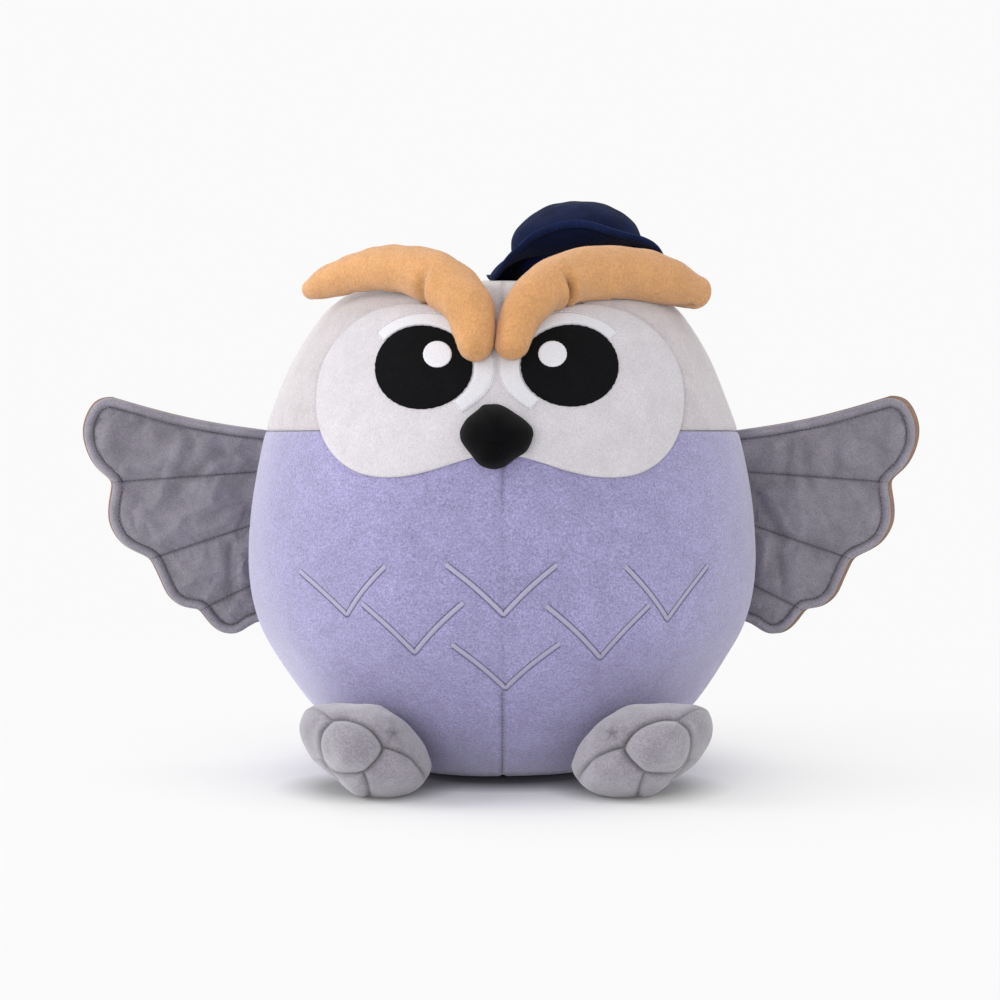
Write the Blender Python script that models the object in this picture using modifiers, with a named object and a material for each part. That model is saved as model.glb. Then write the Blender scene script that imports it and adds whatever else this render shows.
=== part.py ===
"""Plush owl that sits on a round stuffed body.

The owl faces -Y, its own left is +X, and the floor is at Z = 0. The body is a turned
form, and every skin panel, applique and stuffed limb takes its place from that form.
"""
from math import atan2, cos, hypot, pi, radians, sin, sqrt

import bmesh
import bpy
import numpy
from mathutils import Matrix, Vector

# Body and fabric, in metres
BODY_WIDTH = 0.2536
BODY_DEPTH = 0.2282
BODY_HEIGHT = 0.242
VELOUR = 0.0015
FELT = 0.0008
SEAM_GAP = 0.0003
LAYER_GAP = 0.0003
WELD_DISTANCE = 0.000001
CUT_OVERRUN = 0.05
SLOPE_STEP = 0.001

# The turned form: shares of half the width and of the height, from the base to the crown
BODY_PROFILE_SHARES = (
    (0.363, 0.0), (0.457, 0.010), (0.552, 0.033), (0.647, 0.070), (0.773, 0.138),
    (0.879, 0.221), (0.961, 0.303), (0.998, 0.401), (0.992, 0.529), (0.950, 0.653),
    (0.903, 0.736), (0.820, 0.839), (0.724, 0.921), (0.662, 0.955), (0.584, 0.979),
    (0.457, 0.994), (0.250, 1.0))
PROFILE_COUNT = 600
BODY_RINGS = 21
BODY_SEGMENTS = 32
FORM_RINGS = 41
FORM_SEGMENTS = 64

# Seams of the skin
COLLAR_SEAM_SHARE = 0.694
COLLAR_SEAM_TILT = radians(3.8)
BASE_SEAM_HEIGHT = 0.0025
SIDE_SEAM_BACK = 0.014

# The face sits a little to the owl's right of the middle
FACE_SHIFT = -0.003
FACE_LOWER_SHARES = (
    (0.0, 0.674), (0.100, 0.669), (0.252, 0.640), (0.410, 0.627), (0.556, 0.638),
    (0.650, 0.661), (0.729, 0.692), (0.785, 0.736), (0.811, 0.785))
FACE_UPPER_SHARES = (
    (0.0, 0.917), (0.100, 0.934), (0.252, 0.955), (0.410, 0.957), (0.556, 0.945),
    (0.650, 0.927), (0.729, 0.895), (0.785, 0.845), (0.811, 0.785))
FACE_COLUMN_COUNT = 24
FACE_ROW_COUNT = 12

EYE_WIDTH = 0.050
EYE_HEIGHT = 0.0385
EYE_PLACE_SHARE = 0.839
EYE_COLUMN_COUNT = 12
EYE_ROW_COUNT = 5
ARC_WIDTH = 0.0102
ARC_SPACE = 0.0021
ARC_FROM = radians(-50)
ARC_TO = radians(142)
ARC_WIDTH_SHARES = (0.62, 1.0, 0.90, 0.62, 0.50, 0.60)
ARC_COLUMN_COUNT = 18
ARC_ROW_COUNT = 2
HIGHLIGHT_WIDTH = 0.0142
HIGHLIGHT_HEIGHT = 0.0126
HIGHLIGHT_IN = 0.0088
HIGHLIGHT_UP = 0.0044
HIGHLIGHT_COLUMN_COUNT = 8
HIGHLIGHT_ROW_COUNT = 3

BEAK_WIDTH = 0.0355
BEAK_TOP = 0.0115
BEAK_BOTTOM = 0.0195
BEAK_REACH = 0.0190
BEAK_PLACE_SHARE = 0.722
BEAK_SINK_SHARE = 0.10
BEAK_CORNER_POWER = 1.35
BEAK_SEGMENTS = 16
BEAK_RINGS = 12

# Brows: shares of half the width, half the depth and the height, from the beak outwards
BROW_RADIUS = 0.0140
BROW_SPACE = 0.0010
BROW_SHIFT = -0.0042
BROW_FLATNESS_SHARE = 0.92
BROW_END = 0.0100
BROW_SEGMENTS = 12
BROW_RINGS = 14
BROW_STEP_COUNT = 60
BROW_PATH_SHARES = (
    (0.000, -0.862, 0.848), (0.006, -0.806, 0.912), (0.026, -0.736, 0.972),
    (0.094, -0.622, 1.014), (0.240, -0.480, 1.027), (0.400, -0.345, 1.018),
    (0.555, -0.228, 0.998), (0.695, -0.130, 0.971))
BROW_RADIUS_SHARES = (0.66, 0.78, 0.94, 1.03, 1.02, 0.95, 0.82, 0.62)

# Wings: outline in shares of span and height, from the top corner round to the low tip
WING_LENGTH = 0.0955
WING_TOP_SAG = 0.0022
WING_HEIGHT = 0.121
WING_LOW_HEIGHT = 0.063
WING_OUTLINE_SHARES = (
    ((0.840, 1.000), (0.930, 0.985), (0.992, 0.900), (0.995, 0.810), (0.940, 0.710), (0.842, 0.648)),
    ((0.842, 0.648), (0.868, 0.540), (0.858, 0.455), (0.785, 0.375), (0.650, 0.325)),
    ((0.650, 0.325), (0.600, 0.240), (0.555, 0.165), (0.480, 0.120), (0.392, 0.110)),
    ((0.392, 0.110), (0.330, 0.045), (0.265, 0.010), (0.190, 0.010), (0.115, 0.050)))
WING_ROOT_SHARES = (0.860, 0.690, 0.471, 0.227, 0.070)
WING_PUFF = 0.0042
WING_WADDING = 0.0006
WING_LANE_COLUMN_COUNT = 4
WING_ROW_SHARES = (0.0, 0.10, 0.28, 0.50, 0.72, 0.90, 1.0)
WING_SWELL_POWER = 0.8
WING_ROOT_SWELL_SHARE = 0.3
WING_EDGE_SWELL_SHARE = 0.2
WING_HINGE_OUT = 0.0015
WING_HINGE_HEIGHT_SHARE = 0.45

# Feet: middle and height off the floor, then half sizes, of the instep and each toe
FOOT_WIDTH = 0.066
FOOT_LENGTH = 0.066
FOOT_HEIGHT = 0.0430
FOOT_SPREAD = 0.0655
FOOT_TUCK = 0.0219
FOOT_FLAT = 0.0005
TOE_SHARES = (
    ((0.03, 0.50, 0.0), (0.355, 0.38, 0.490)),
    ((0.27, 0.56, 0.18), (0.235, 0.34, 0.385)),
    ((0.08, 0.70, 0.23), (0.235, 0.32, 0.345)),
    ((-0.21, 0.66, 0.0), (0.295, 0.34, 0.395)))
TOE_SEGMENTS = 12
TOE_RINGS = 7
FOOT_SEAM_TILT = radians(58)
FOOT_HINGE_HEIGHT_SHARE = 0.97

HAT_RADIUS = 0.0338
HAT_HEIGHT = 0.0420
HAT_PLACE = 0.0400
HAT_BACK = 0.0200
HAT_TILT = radians(-8)
HAT_PROFILE_SHARES = (
    (0.08, 1.0), (0.46, 0.965), (0.74, 0.860), (0.91, 0.690), (0.985, 0.500),
    (1.0, 0.300), (1.0, -0.20))
HAT_RINGS = 8
HAT_SEGMENTS = 20
BRIM_LENGTH = 0.0190
BRIM_THICKNESS = 0.0022
BRIM_COLUMN_COUNT = 28
BRIM_ROW_COUNT = 3
BRIM_HEIGHT = 0.0170
BRIM_TURN_UP = radians(58)
BRIM_DROOP = radians(-52)
BRIM_TURN_SHARES = (0.68, 0.97)
BRIM_CURL_SHARE = 0.35

# Chest embroidery: rows of V shapes, three over two over one
CHEVRON_WIDTH = 0.0510
CHEVRON_DROP = 0.0230
CHEVRON_STROKE = 0.0030
CHEVRON_TOP_SPACING = 0.0830
CHEVRON_MIDDLE_SPACING = 0.0900
CHEVRON_SHIFT = 0.0012
CHEVRON_TOP_HEIGHT = 0.0855
CHEVRON_ROW_STEP = 0.0173
CHEVRON_THREAD = 0.0006
CHEVRON_BOW_SHARE = 0.06
CHEVRON_COLUMN_COUNT = 10

SIDES = (("left", 1), ("right", -1))
SMOOTH_ANGLE = radians(40)

# Colours, as Blender's linear values
LILAC = (0.38, 0.35, 0.61)
PALE_GREY = (0.74, 0.72, 0.76)
WARM_GREY = (0.52, 0.48, 0.51)
WING_GREY = (0.24, 0.23, 0.26)
FOOT_GREY = (0.33, 0.31, 0.36)
ORANGE = (0.72, 0.38, 0.14)
BLACK = (0.010, 0.010, 0.011)
BEAK_BLACK = (0.007, 0.007, 0.008)
WHITE = (0.80, 0.79, 0.83)
NAVY = (0.012, 0.020, 0.060)
THREAD_GREY = (0.42, 0.39, 0.52)
BACKING_TAN = (0.40, 0.27, 0.22)
FILLING = (0.85, 0.85, 0.84)


def clear_scene():
    """Start from an empty file."""
    for existing in list(bpy.data.objects):
        bpy.data.objects.remove(existing, do_unlink=True)


def new_collection(name):
    """A collection under the scene's own."""
    collection = bpy.data.collections.new(name)
    bpy.context.scene.collection.children.link(collection)
    return collection


def new_material(name, colour, roughness):
    """A plain cloth-like Principled material."""
    material = bpy.data.materials.new(name)
    material.use_nodes = True
    shader = material.node_tree.nodes["Principled BSDF"]
    shader.inputs["Base Color"].default_value = (*colour, 1.0)
    shader.inputs["Roughness"].default_value = roughness
    shader.inputs["Metallic"].default_value = 0.0
    material.diffuse_color = (*colour, 1.0)
    return material


def along(points, share):
    """The point at a share of the smooth line that runs through the given points."""
    spans = len(points) - 1
    place = min(max(share, 0.0), 1.0) * spans
    index = min(int(place), spans - 1)
    part = place - index
    before = Vector(points[max(index - 1, 0)])
    start = Vector(points[index])
    end = Vector(points[index + 1])
    after = Vector(points[min(index + 2, spans)])
    square = (2 * before - 5 * start + 4 * end - after) * part ** 2
    cube = (3 * start - before - 3 * end + after) * part ** 3
    return 0.5 * (2 * start + (end - before) * part + square + cube)


def smooth_step(share):
    """Eases from 0 to 1."""
    share = min(max(share, 0.0), 1.0)
    return share * share * (3 - 2 * share)


def body_profile(count):
    """Radius and height of the turned form at evenly counted places."""
    places = (along(BODY_PROFILE_SHARES, i / (count - 1)) for i in range(count))
    return [(p[0] * BODY_WIDTH / 2, p[1] * BODY_HEIGHT) for p in places]


PROFILE = body_profile(PROFILE_COUNT)
PROFILE_RADII = [radius for radius, height in PROFILE]
PROFILE_HEIGHTS = [height for radius, height in PROFILE]
WIDEST = PROFILE_RADII.index(max(PROFILE_RADII))
DEPTH_RATIO = BODY_DEPTH / BODY_WIDTH


def radius_at(height):
    """Half the body's width at a height."""
    return float(numpy.interp(height, PROFILE_HEIGHTS, PROFILE_RADII))


def crown_height(x, y):
    """Height of the top of the head over a point."""
    reach = hypot(x, y / DEPTH_RATIO)
    radii = PROFILE_RADII[WIDEST:][::-1]
    heights = PROFILE_HEIGHTS[WIDEST:][::-1]
    return float(numpy.interp(reach, radii, heights))


def on_body(across, height, lift):
    """A point over the front of the body: across is measured round it from the middle."""
    radius = radius_at(height)
    turn = across / radius
    slope = (radius_at(height + SLOPE_STEP) - radius_at(height - SLOPE_STEP)) / (2 * SLOPE_STEP)
    point = Vector((radius * sin(turn), -radius * DEPTH_RATIO * cos(turn), height))
    outward = Vector((sin(turn), -cos(turn) / DEPTH_RATIO, -slope)).normalized()
    return point + outward * lift


def side_of_body(height, back):
    """Half the body's width at a height, at a distance behind the middle."""
    radius = radius_at(height)
    return radius * sqrt(1 - (back / (radius * DEPTH_RATIO)) ** 2)


def layer_lift(layer):
    """How far over the skin a layer of appliques starts."""
    return LAYER_GAP + layer * (FELT + LAYER_GAP)


def object_from(mesh_edit, name, collection):
    """Makes an object from mesh data, smooth on its rounds and sharp at its edges."""
    mesh = bpy.data.meshes.new(name)
    mesh_edit.to_mesh(mesh)
    mesh_edit.free()
    mesh.shade_smooth()
    mesh.set_sharp_from_angle(angle=SMOOTH_ANGLE)
    made = bpy.data.objects.new(name, mesh)
    collection.objects.link(made)
    return made


def close_up(mesh_edit):
    """Merges points that coincide and turns every face outwards."""
    bmesh.ops.remove_doubles(mesh_edit, verts=mesh_edit.verts, dist=WELD_DISTANCE)
    bmesh.ops.recalc_face_normals(mesh_edit, faces=mesh_edit.faces)


def thick_sheet(columns, rows, outer, inner, ring=False):
    """A closed sheet: a grid whose two faces are placed by two functions of its shares.

    A ring's first and last columns meet, so it has no walls there.
    """
    edit = bmesh.new()
    bmesh.ops.create_grid(edit, x_segments=columns, y_segments=rows, size=0.5)
    below = list(edit.verts)
    shares = [(vertex.co.x + 0.5, vertex.co.y + 0.5) for vertex in below]
    grown = bmesh.ops.extrude_face_region(edit, geom=edit.faces[:], use_keep_orig=True)
    above = [item for item in grown["geom"] if isinstance(item, bmesh.types.BMVert)]
    above_shares = [(vertex.co.x + 0.5, vertex.co.y + 0.5) for vertex in above]
    if ring:
        walls = [face for face in edit.faces
                 if len({round(vertex.co.x, 4) for vertex in face.verts}) == 1
                 and abs(face.verts[0].co.x) > 0.49]
        bmesh.ops.delete(edit, geom=walls, context="FACES_ONLY")
    for vertex, (u, v) in zip(below, shares):
        vertex.co = inner(u, v)
    for vertex, (u, v) in zip(above, above_shares):
        vertex.co = outer(u, v)
    close_up(edit)
    return edit


def turned_solid(profile, segments):
    """A closed form turned about Z by Screw, from a profile that runs from top to bottom."""
    mesh = bpy.data.meshes.new("profile")
    edges = [(i, i + 1) for i in range(len(profile) - 1)]
    mesh.from_pydata([(radius, 0.0, height) for radius, height in profile], edges, [])
    made = bpy.data.objects.new("profile", mesh)
    bpy.context.scene.collection.objects.link(made)
    screw = made.modifiers.new("Screw", "SCREW")
    screw.steps = segments
    screw.render_steps = segments
    screw.use_merge_vertices = True
    screw.merge_threshold = WELD_DISTANCE
    edit = bmesh.new()
    edit.from_mesh(evaluated_mesh(made))
    bpy.data.objects.remove(made)
    close_up(edit)
    return edit


def evaluated_mesh(item):
    """The object's mesh with its modifiers applied."""
    graph = bpy.context.evaluated_depsgraph_get()
    return bpy.data.meshes.new_from_object(item.evaluated_get(graph))


def body_form(rings, segments, offset):
    """The whole body as a closed form, moved out along its normals by an offset."""
    profile = body_profile(rings)[::-1]
    closed = [(0.0, BODY_HEIGHT)] + profile + [(0.0, 0.0)]
    edit = turned_solid(closed, segments)
    bmesh.ops.scale(edit, vec=(1.0, DEPTH_RATIO, 1.0), verts=edit.verts)
    edit.normal_update()
    moves = [(vertex, vertex.normal * offset) for vertex in edit.verts]
    for vertex, move in moves:
        vertex.co += move
    return edit


def cut_away(edit, point, normal):
    """Removes what lies beyond a plane, on the side its normal points to."""
    everything = edit.verts[:] + edit.edges[:] + edit.faces[:]
    bmesh.ops.bisect_plane(edit, geom=everything, dist=WELD_DISTANCE, plane_co=point,
                           plane_no=normal, clear_outer=True)


def skin_panel(name, cuts, collection):
    """A panel of the body's skin: the form, cut along its seams, with velour's thickness."""
    edit = body_form(BODY_RINGS, BODY_SEGMENTS, 0.0)
    for point, normal in cuts:
        away = Vector(normal)
        cut_away(edit, Vector(point) - away * SEAM_GAP / 2, away)
    panel = object_from(edit, name, collection)
    solidify = panel.modifiers.new("Velour", "SOLIDIFY")
    solidify.thickness = VELOUR
    solidify.offset = -1
    solidify.use_even_offset = True
    return panel


def dress(item, colour, roughness):
    """Gives an object its own material."""
    item.data.materials.append(new_material(item.name, colour, roughness))
    return item


def cut_with(item, cutter, operation="DIFFERENCE"):
    """Adds an exact Boolean to an object."""
    boolean = item.modifiers.new("Cut " + cutter.name, "BOOLEAN")
    boolean.object = cutter
    boolean.operation = operation
    boolean.solver = "EXACT"


def make_cutter(edit, name, collection):
    """A cutter or a guide, which isn't part of the owl."""
    cutter = object_from(edit, name, collection)
    cutter.hide_render = True
    cutter.display_type = "WIRE"
    return cutter


def apply_modifiers(item):
    """Turns an object's modifiers into its mesh."""
    mesh = evaluated_mesh(item)
    item.modifiers.clear()
    item.data = mesh


def place_origin(item, point):
    """Moves an object's origin, with its mesh where it was."""
    item.data.transform(Matrix.Translation(-Vector(point)))
    item.location = point


def make_filling(parts):
    """The polyester filling of the body."""
    edit = body_form(BODY_RINGS, BODY_SEGMENTS, -(VELOUR + LAYER_GAP))
    dress(object_from(edit, "body_stuffing", parts), FILLING, 0.95)


def make_skin(parts):
    """The panels of the body and head, and the base they meet at."""
    collar = Vector((0, sin(COLLAR_SEAM_TILT), cos(COLLAR_SEAM_TILT)))
    collar_height = COLLAR_SEAM_SHARE * BODY_HEIGHT
    collar_up = ((0, 0, collar_height), collar)
    collar_down = ((0, 0, collar_height), -collar)
    base_up = ((0, 0, BASE_SEAM_HEIGHT), (0, 0, 1))
    base_down = ((0, 0, BASE_SEAM_HEIGHT), (0, 0, -1))
    side_back = ((0, SIDE_SEAM_BACK, 0), (0, 1, 0))
    side_front = ((0, SIDE_SEAM_BACK, 0), (0, -1, 0))
    for side, sign in SIDES:
        middle = ((0, 0, 0), (-sign, 0, 0))
        belly = skin_panel("belly_panel_" + side, (collar_up, base_down, side_back, middle), parts)
        back = skin_panel("back_panel_" + side, (collar_up, base_down, side_front, middle), parts)
        crown_back = skin_panel("head_back_panel_" + side, (collar_down, side_front, middle), parts)
        crown_front = skin_panel("head_front_panel_" + side, (collar_down, side_back, middle), parts)
        dress(belly, LILAC, 0.9)
        dress(back, LILAC, 0.9)
        dress(crown_back, WARM_GREY, 0.9)
        dress(crown_front, WARM_GREY, 0.9)
    dress(skin_panel("base_panel", (base_up,), parts), LILAC, 0.9)


def applique(name, columns, rows, outline, layer, thickness, colour, parts):
    """A flat piece laid on the body: outline gives across and height from two shares."""
    def outer(u, v):
        across, height = outline(u, v)
        return on_body(across, height, layer_lift(layer) + thickness)

    def inner(u, v):
        across, height = outline(u, v)
        return on_body(across, height, layer_lift(layer))

    piece = object_from(thick_sheet(columns, rows, outer, inner), name, parts)
    return dress(piece, colour, 0.85)


def make_face_disc(parts):
    """The pale two-lobed face, sewn over the head and the top of the belly."""
    def mirrored(shares):
        return [(-x, z) for x, z in shares[:0:-1]] + list(shares)

    lower = mirrored(FACE_LOWER_SHARES)
    upper = mirrored(FACE_UPPER_SHARES)

    def outline(u, v):
        rise = sin(pi / 2 * v)
        point = along(lower, u).lerp(along(upper, u), rise)
        return point.x * BODY_WIDTH / 2 + FACE_SHIFT / 2, point.y * BODY_HEIGHT

    applique("face_disc", FACE_COLUMN_COUNT, FACE_ROW_COUNT, outline, 0, FELT, PALE_GREY, parts)


def eye_centre(sign):
    """Across and height of the middle of an eye, far enough out for the white arcs."""
    across = ARC_SPACE / 2 + ARC_WIDTH + LAYER_GAP + EYE_WIDTH / 2
    return FACE_SHIFT + sign * across, EYE_PLACE_SHARE * BODY_HEIGHT


def oval(centre, width, height, u, v):
    """A point of an oval: u runs across it, and v up its column."""
    half = sin(pi * u)
    return (centre[0] - cos(pi * u) * width / 2, centre[1] + (2 * v - 1) * half * height / 2)


def make_eye(side, sign, parts):
    """A black eye, its highlight, and the white arc round its inner side."""
    centre = eye_centre(sign)
    applique("eye_" + side, EYE_COLUMN_COUNT, EYE_ROW_COUNT,
             lambda u, v: oval(centre, EYE_WIDTH, EYE_HEIGHT, u, v), 1, FELT, BLACK, parts)
    spot = (centre[0] - sign * HIGHLIGHT_IN, centre[1] + HIGHLIGHT_UP)
    applique("eye_highlight_" + side, HIGHLIGHT_COLUMN_COUNT, HIGHLIGHT_ROW_COUNT,
             lambda u, v: oval(spot, HIGHLIGHT_WIDTH, HIGHLIGHT_HEIGHT, u, v),
             2, FELT, WHITE, parts)

    def arc(u, v):
        turn = ARC_FROM + (ARC_TO - ARC_FROM) * u
        widths = [(share, 0.0) for share in ARC_WIDTH_SHARES]
        grow = LAYER_GAP + along(widths, u).x * ARC_WIDTH * v
        across = cos(turn) * (EYE_WIDTH / 2 + grow)
        return centre[0] - sign * across, centre[1] + sin(turn) * (EYE_HEIGHT / 2 + grow)

    applique("eye_arc_" + side, ARC_COLUMN_COUNT, ARC_ROW_COUNT, arc, 1, FELT, WHITE, parts)


def ball(segments, rings, place):
    """A closed form from a sphere whose points are placed by a function of their direction."""
    edit = bmesh.new()
    bmesh.ops.create_uvsphere(edit, u_segments=segments, v_segments=rings, radius=1.0)
    for vertex in edit.verts:
        vertex.co = place(vertex.co.copy())
    if edit.calc_volume(signed=True) < 0:
        bmesh.ops.reverse_faces(edit, faces=edit.faces)
    return edit


def beak_form(inset):
    """The beak's rounded kite, drawn in by an inset."""
    height = BEAK_PLACE_SHARE * BODY_HEIGHT
    seat = on_body(FACE_SHIFT, height, BEAK_SINK_SHARE * BEAK_REACH)

    def place(direction):
        span = hypot(direction.x, direction.y)
        turn = atan2(direction.y, direction.x)
        power = BEAK_CORNER_POWER
        corner = (abs(cos(turn)) ** power + abs(sin(turn)) ** power) ** (-1 / power)
        rise = BEAK_TOP if direction.y > 0 else BEAK_BOTTOM
        x = (BEAK_WIDTH / 2 - inset) * span * corner * cos(turn)
        z = (rise - inset) * span * corner * sin(turn)
        y = -(BEAK_REACH - inset) * direction.z
        return seat + Vector((x, y, z))

    return ball(BEAK_SEGMENTS, BEAK_RINGS, place)


def make_beak(guides, clearance, parts):
    """The beak's black cover over its filling, cut where it sits on the face."""
    cover = object_from(beak_form(0.0), "beak_cover", parts)
    hollow = make_cutter(beak_form(VELOUR), "beak_hollow", guides)
    filling = object_from(beak_form(VELOUR + LAYER_GAP), "beak_stuffing", parts)
    cut_with(cover, hollow)
    cut_with(cover, clearance)
    cut_with(filling, clearance)
    dress(cover, BEAK_BLACK, 0.8)
    dress(filling, FILLING, 0.95)


def brow_form(sign, inset):
    """A tapered tube along the brow's path, drawn in by an inset."""
    half = Vector((BODY_WIDTH / 2, BODY_DEPTH / 2, BODY_HEIGHT))
    radii = [(share, 0.0) for share in BROW_RADIUS_SHARES]

    def radius_along(share):
        return along(radii, share).x * BROW_RADIUS

    def centre(share):
        point = Vector([a * b for a, b in zip(along(BROW_PATH_SHARES, share), half)])
        point.x += radius_along(share) + BROW_SPACE / 2
        point.x = sign * point.x + BROW_SHIFT * (1 - share)
        return point

    step = 1 / BROW_STEP_COUNT
    length = sum((centre((i + 1) * step) - centre(i * step)).length for i in range(BROW_STEP_COUNT))

    def place(direction):
        share = (1 - direction.z) / 2
        trimmed = inset / length + share * (1 - 2 * inset / length)
        to_end = min(share, 1 - share) * length
        closing = sqrt(1 - (1 - min(to_end / BROW_END, 1.0)) ** 2)
        radius = (radius_along(trimmed) - inset) * closing
        middle = centre(trimmed)
        tangent = (centre(trimmed + step) - centre(trimmed - step)).normalized()
        outward = Vector((middle.x, middle.y / DEPTH_RATIO ** 2, middle.z / 2)).normalized()
        outward = (outward - tangent * outward.dot(tangent)).normalized()
        sideways = tangent.cross(outward)
        turn = atan2(direction.y, direction.x)
        rise = outward * cos(turn) * BROW_FLATNESS_SHARE
        return middle + (rise + sideways * sin(turn)) * radius

    return ball(BROW_SEGMENTS, BROW_RINGS, place)


def make_brow(side, sign, guides, clearance, parts):
    """A brow's orange cover over its filling, cut where it is sewn to the head."""
    cover = object_from(brow_form(sign, 0.0), "brow_cover_" + side, parts)
    hollow = make_cutter(brow_form(sign, VELOUR), "brow_hollow_" + side, guides)
    filling = object_from(brow_form(sign, VELOUR + LAYER_GAP), "brow_stuffing_" + side, parts)
    cut_with(cover, hollow)
    cut_with(cover, clearance)
    cut_with(filling, clearance)
    dress(cover, ORANGE, 0.95)
    dress(filling, FILLING, 0.95)


def wing_point(u, v):
    """Span and height of a point of the wing: u runs down it, and v from root to edge."""
    lanes = len(WING_OUTLINE_SHARES)
    lane = min(int(u * lanes), lanes - 1)
    part = u * lanes - lane
    edge = along(WING_OUTLINE_SHARES[lane], part)
    top, bottom = WING_ROOT_SHARES[lane], WING_ROOT_SHARES[lane + 1]
    root_height = WING_LOW_HEIGHT + (top + (bottom - top) * part) * WING_HEIGHT
    root_x = side_of_body(root_height, SIDE_SEAM_BACK) + LAYER_GAP
    edge_x = side_of_body(WING_LOW_HEIGHT, SIDE_SEAM_BACK) + edge.x * WING_LENGTH
    edge_height = WING_LOW_HEIGHT + edge.y * WING_HEIGHT
    point = Vector((root_x, root_height)).lerp(Vector((edge_x, edge_height)), v)
    point.y -= WING_TOP_SAG * sin(pi * v) * max(1 - u * lanes, 0.0)
    return point


def wing_rim():
    """Half the thickness of the wing at its edge, where its two fabrics meet."""
    return VELOUR + SEAM_GAP / 2


def wing_half(u, v):
    """Half the thickness of the quilted wing, thin at its edge and along its channels."""
    lanes = len(WING_OUTLINE_SHARES)
    part = (u * lanes) % 1.0
    first_row = WING_ROW_SHARES[1]
    last_row = WING_ROW_SHARES[-2]
    first_column = 1 / (lanes * WING_LANE_COLUMN_COUNT)
    inner = min(v / first_row, (1 - v) / (1 - last_row), u / first_column,
                (1 - u) / first_column, 1.0)
    padded = inner * (LAYER_GAP + WING_WADDING)
    across_lane = max(sin(pi * part), 0.0) ** WING_SWELL_POWER
    from_root = smooth_step(v / WING_ROOT_SWELL_SHARE)
    from_edge = sqrt(min((1 - v) / WING_EDGE_SWELL_SHARE, 1.0))
    return wing_rim() + padded + WING_PUFF * across_lane * from_root * from_edge


def wing_sheet(sign, near, far):
    """A layer of the wing, between two offsets that are functions of its half thickness."""
    rows = WING_ROW_SHARES
    columns = len(WING_OUTLINE_SHARES) * WING_LANE_COLUMN_COUNT

    def point(u, v, offset):
        row = rows[round(v * (len(rows) - 1))]
        flat = wing_point(u, row)
        bevel = abs(offset(u, row)) * (1 - smooth_step(row / rows[1]))
        return Vector((sign * (flat.x + bevel), SIDE_SEAM_BACK + offset(u, row), flat.y))

    return thick_sheet(columns, len(rows) - 1, lambda u, v: point(u, v, far),
                       lambda u, v: point(u, v, near))


def wing_wadding(sign):
    """The wing's wadding, which stops short of its edge and its root."""
    lanes = len(WING_OUTLINE_SHARES)
    columns = lanes * WING_LANE_COLUMN_COUNT
    rows = WING_ROW_SHARES[1:-1]

    def thickness(u, row):
        return wing_half(u, row) - VELOUR - LAYER_GAP

    def point(u, v, facing):
        column = (1 + u * (columns - 2)) / columns
        row = rows[round(v * (len(rows) - 1))]
        flat = wing_point(column, row)
        return Vector((sign * flat.x, SIDE_SEAM_BACK + facing * thickness(column, row), flat.y))

    return thick_sheet(columns - 2, len(rows) - 1, lambda u, v: point(u, v, -1),
                       lambda u, v: point(u, v, 1))


def make_wing(side, sign, parts):
    """A wing: front and back fabrics over wadding, sewn into the side seam."""
    def outside(facing):
        return lambda u, v: facing * wing_half(u, v)

    def inside(facing):
        return lambda u, v: facing * (wing_half(u, v) - VELOUR)

    hinge_height = WING_LOW_HEIGHT + WING_HINGE_HEIGHT_SHARE * WING_HEIGHT
    widest = BODY_WIDTH / 2 * sqrt(1 - (SIDE_SEAM_BACK / (BODY_DEPTH / 2)) ** 2)
    hinge = (sign * (widest + LAYER_GAP + WING_HINGE_OUT), SIDE_SEAM_BACK, hinge_height)
    front = object_from(wing_sheet(sign, inside(-1), outside(-1)), "wing_front_" + side, parts)
    back = object_from(wing_sheet(sign, inside(1), outside(1)), "wing_back_" + side, parts)
    wadding = object_from(wing_wadding(sign), "wing_wadding_" + side, parts)
    dress(front, WING_GREY, 0.9)
    dress(back, BACKING_TAN, 0.9)
    dress(wadding, FILLING, 0.95)
    for piece in (front, back, wadding):
        place_origin(piece, hinge)


def foot_hinge():
    """Where the left foot's fabric bends: on the skin, near the top of the foot."""
    height = FOOT_HINGE_HEIGHT_SHARE * FOOT_HEIGHT
    return Vector((FOOT_SPREAD, on_body(FOOT_SPREAD, height, LAYER_GAP).y, height))


def toe_form(sign, shares, inset):
    """One stuffed toe, or the instep, drawn in by an inset."""
    place_shares, half_shares = shares
    size = Vector((FOOT_WIDTH, FOOT_LENGTH, FOOT_HEIGHT))
    full = Vector([a * b for a, b in zip(half_shares, size)])
    centre = Vector([a * b for a, b in zip(place_shares, size)])
    centre += Vector((FOOT_SPREAD, -foot_hinge().y - FOOT_TUCK, full.z - FOOT_FLAT))
    halves = full - Vector((inset, inset, inset))

    def place(direction):
        point = centre + Vector([a * b for a, b in zip(direction, halves)])
        return Vector((sign * point.x, -point.y, point.z))

    return ball(TOE_SEGMENTS, TOE_RINGS, place)


def foot_form(name, sign, inset, collection):
    """The toes and the instep joined in one form."""
    whole = object_from(toe_form(sign, TOE_SHARES[0], inset), name, collection)
    for shares in TOE_SHARES[1:]:
        toe = object_from(toe_form(sign, shares, inset), "toe", collection)
        cut_with(whole, toe, "UNION")
        apply_modifiers(whole)
        bpy.data.objects.remove(toe)
    whole.data.materials.clear()
    return whole


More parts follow.
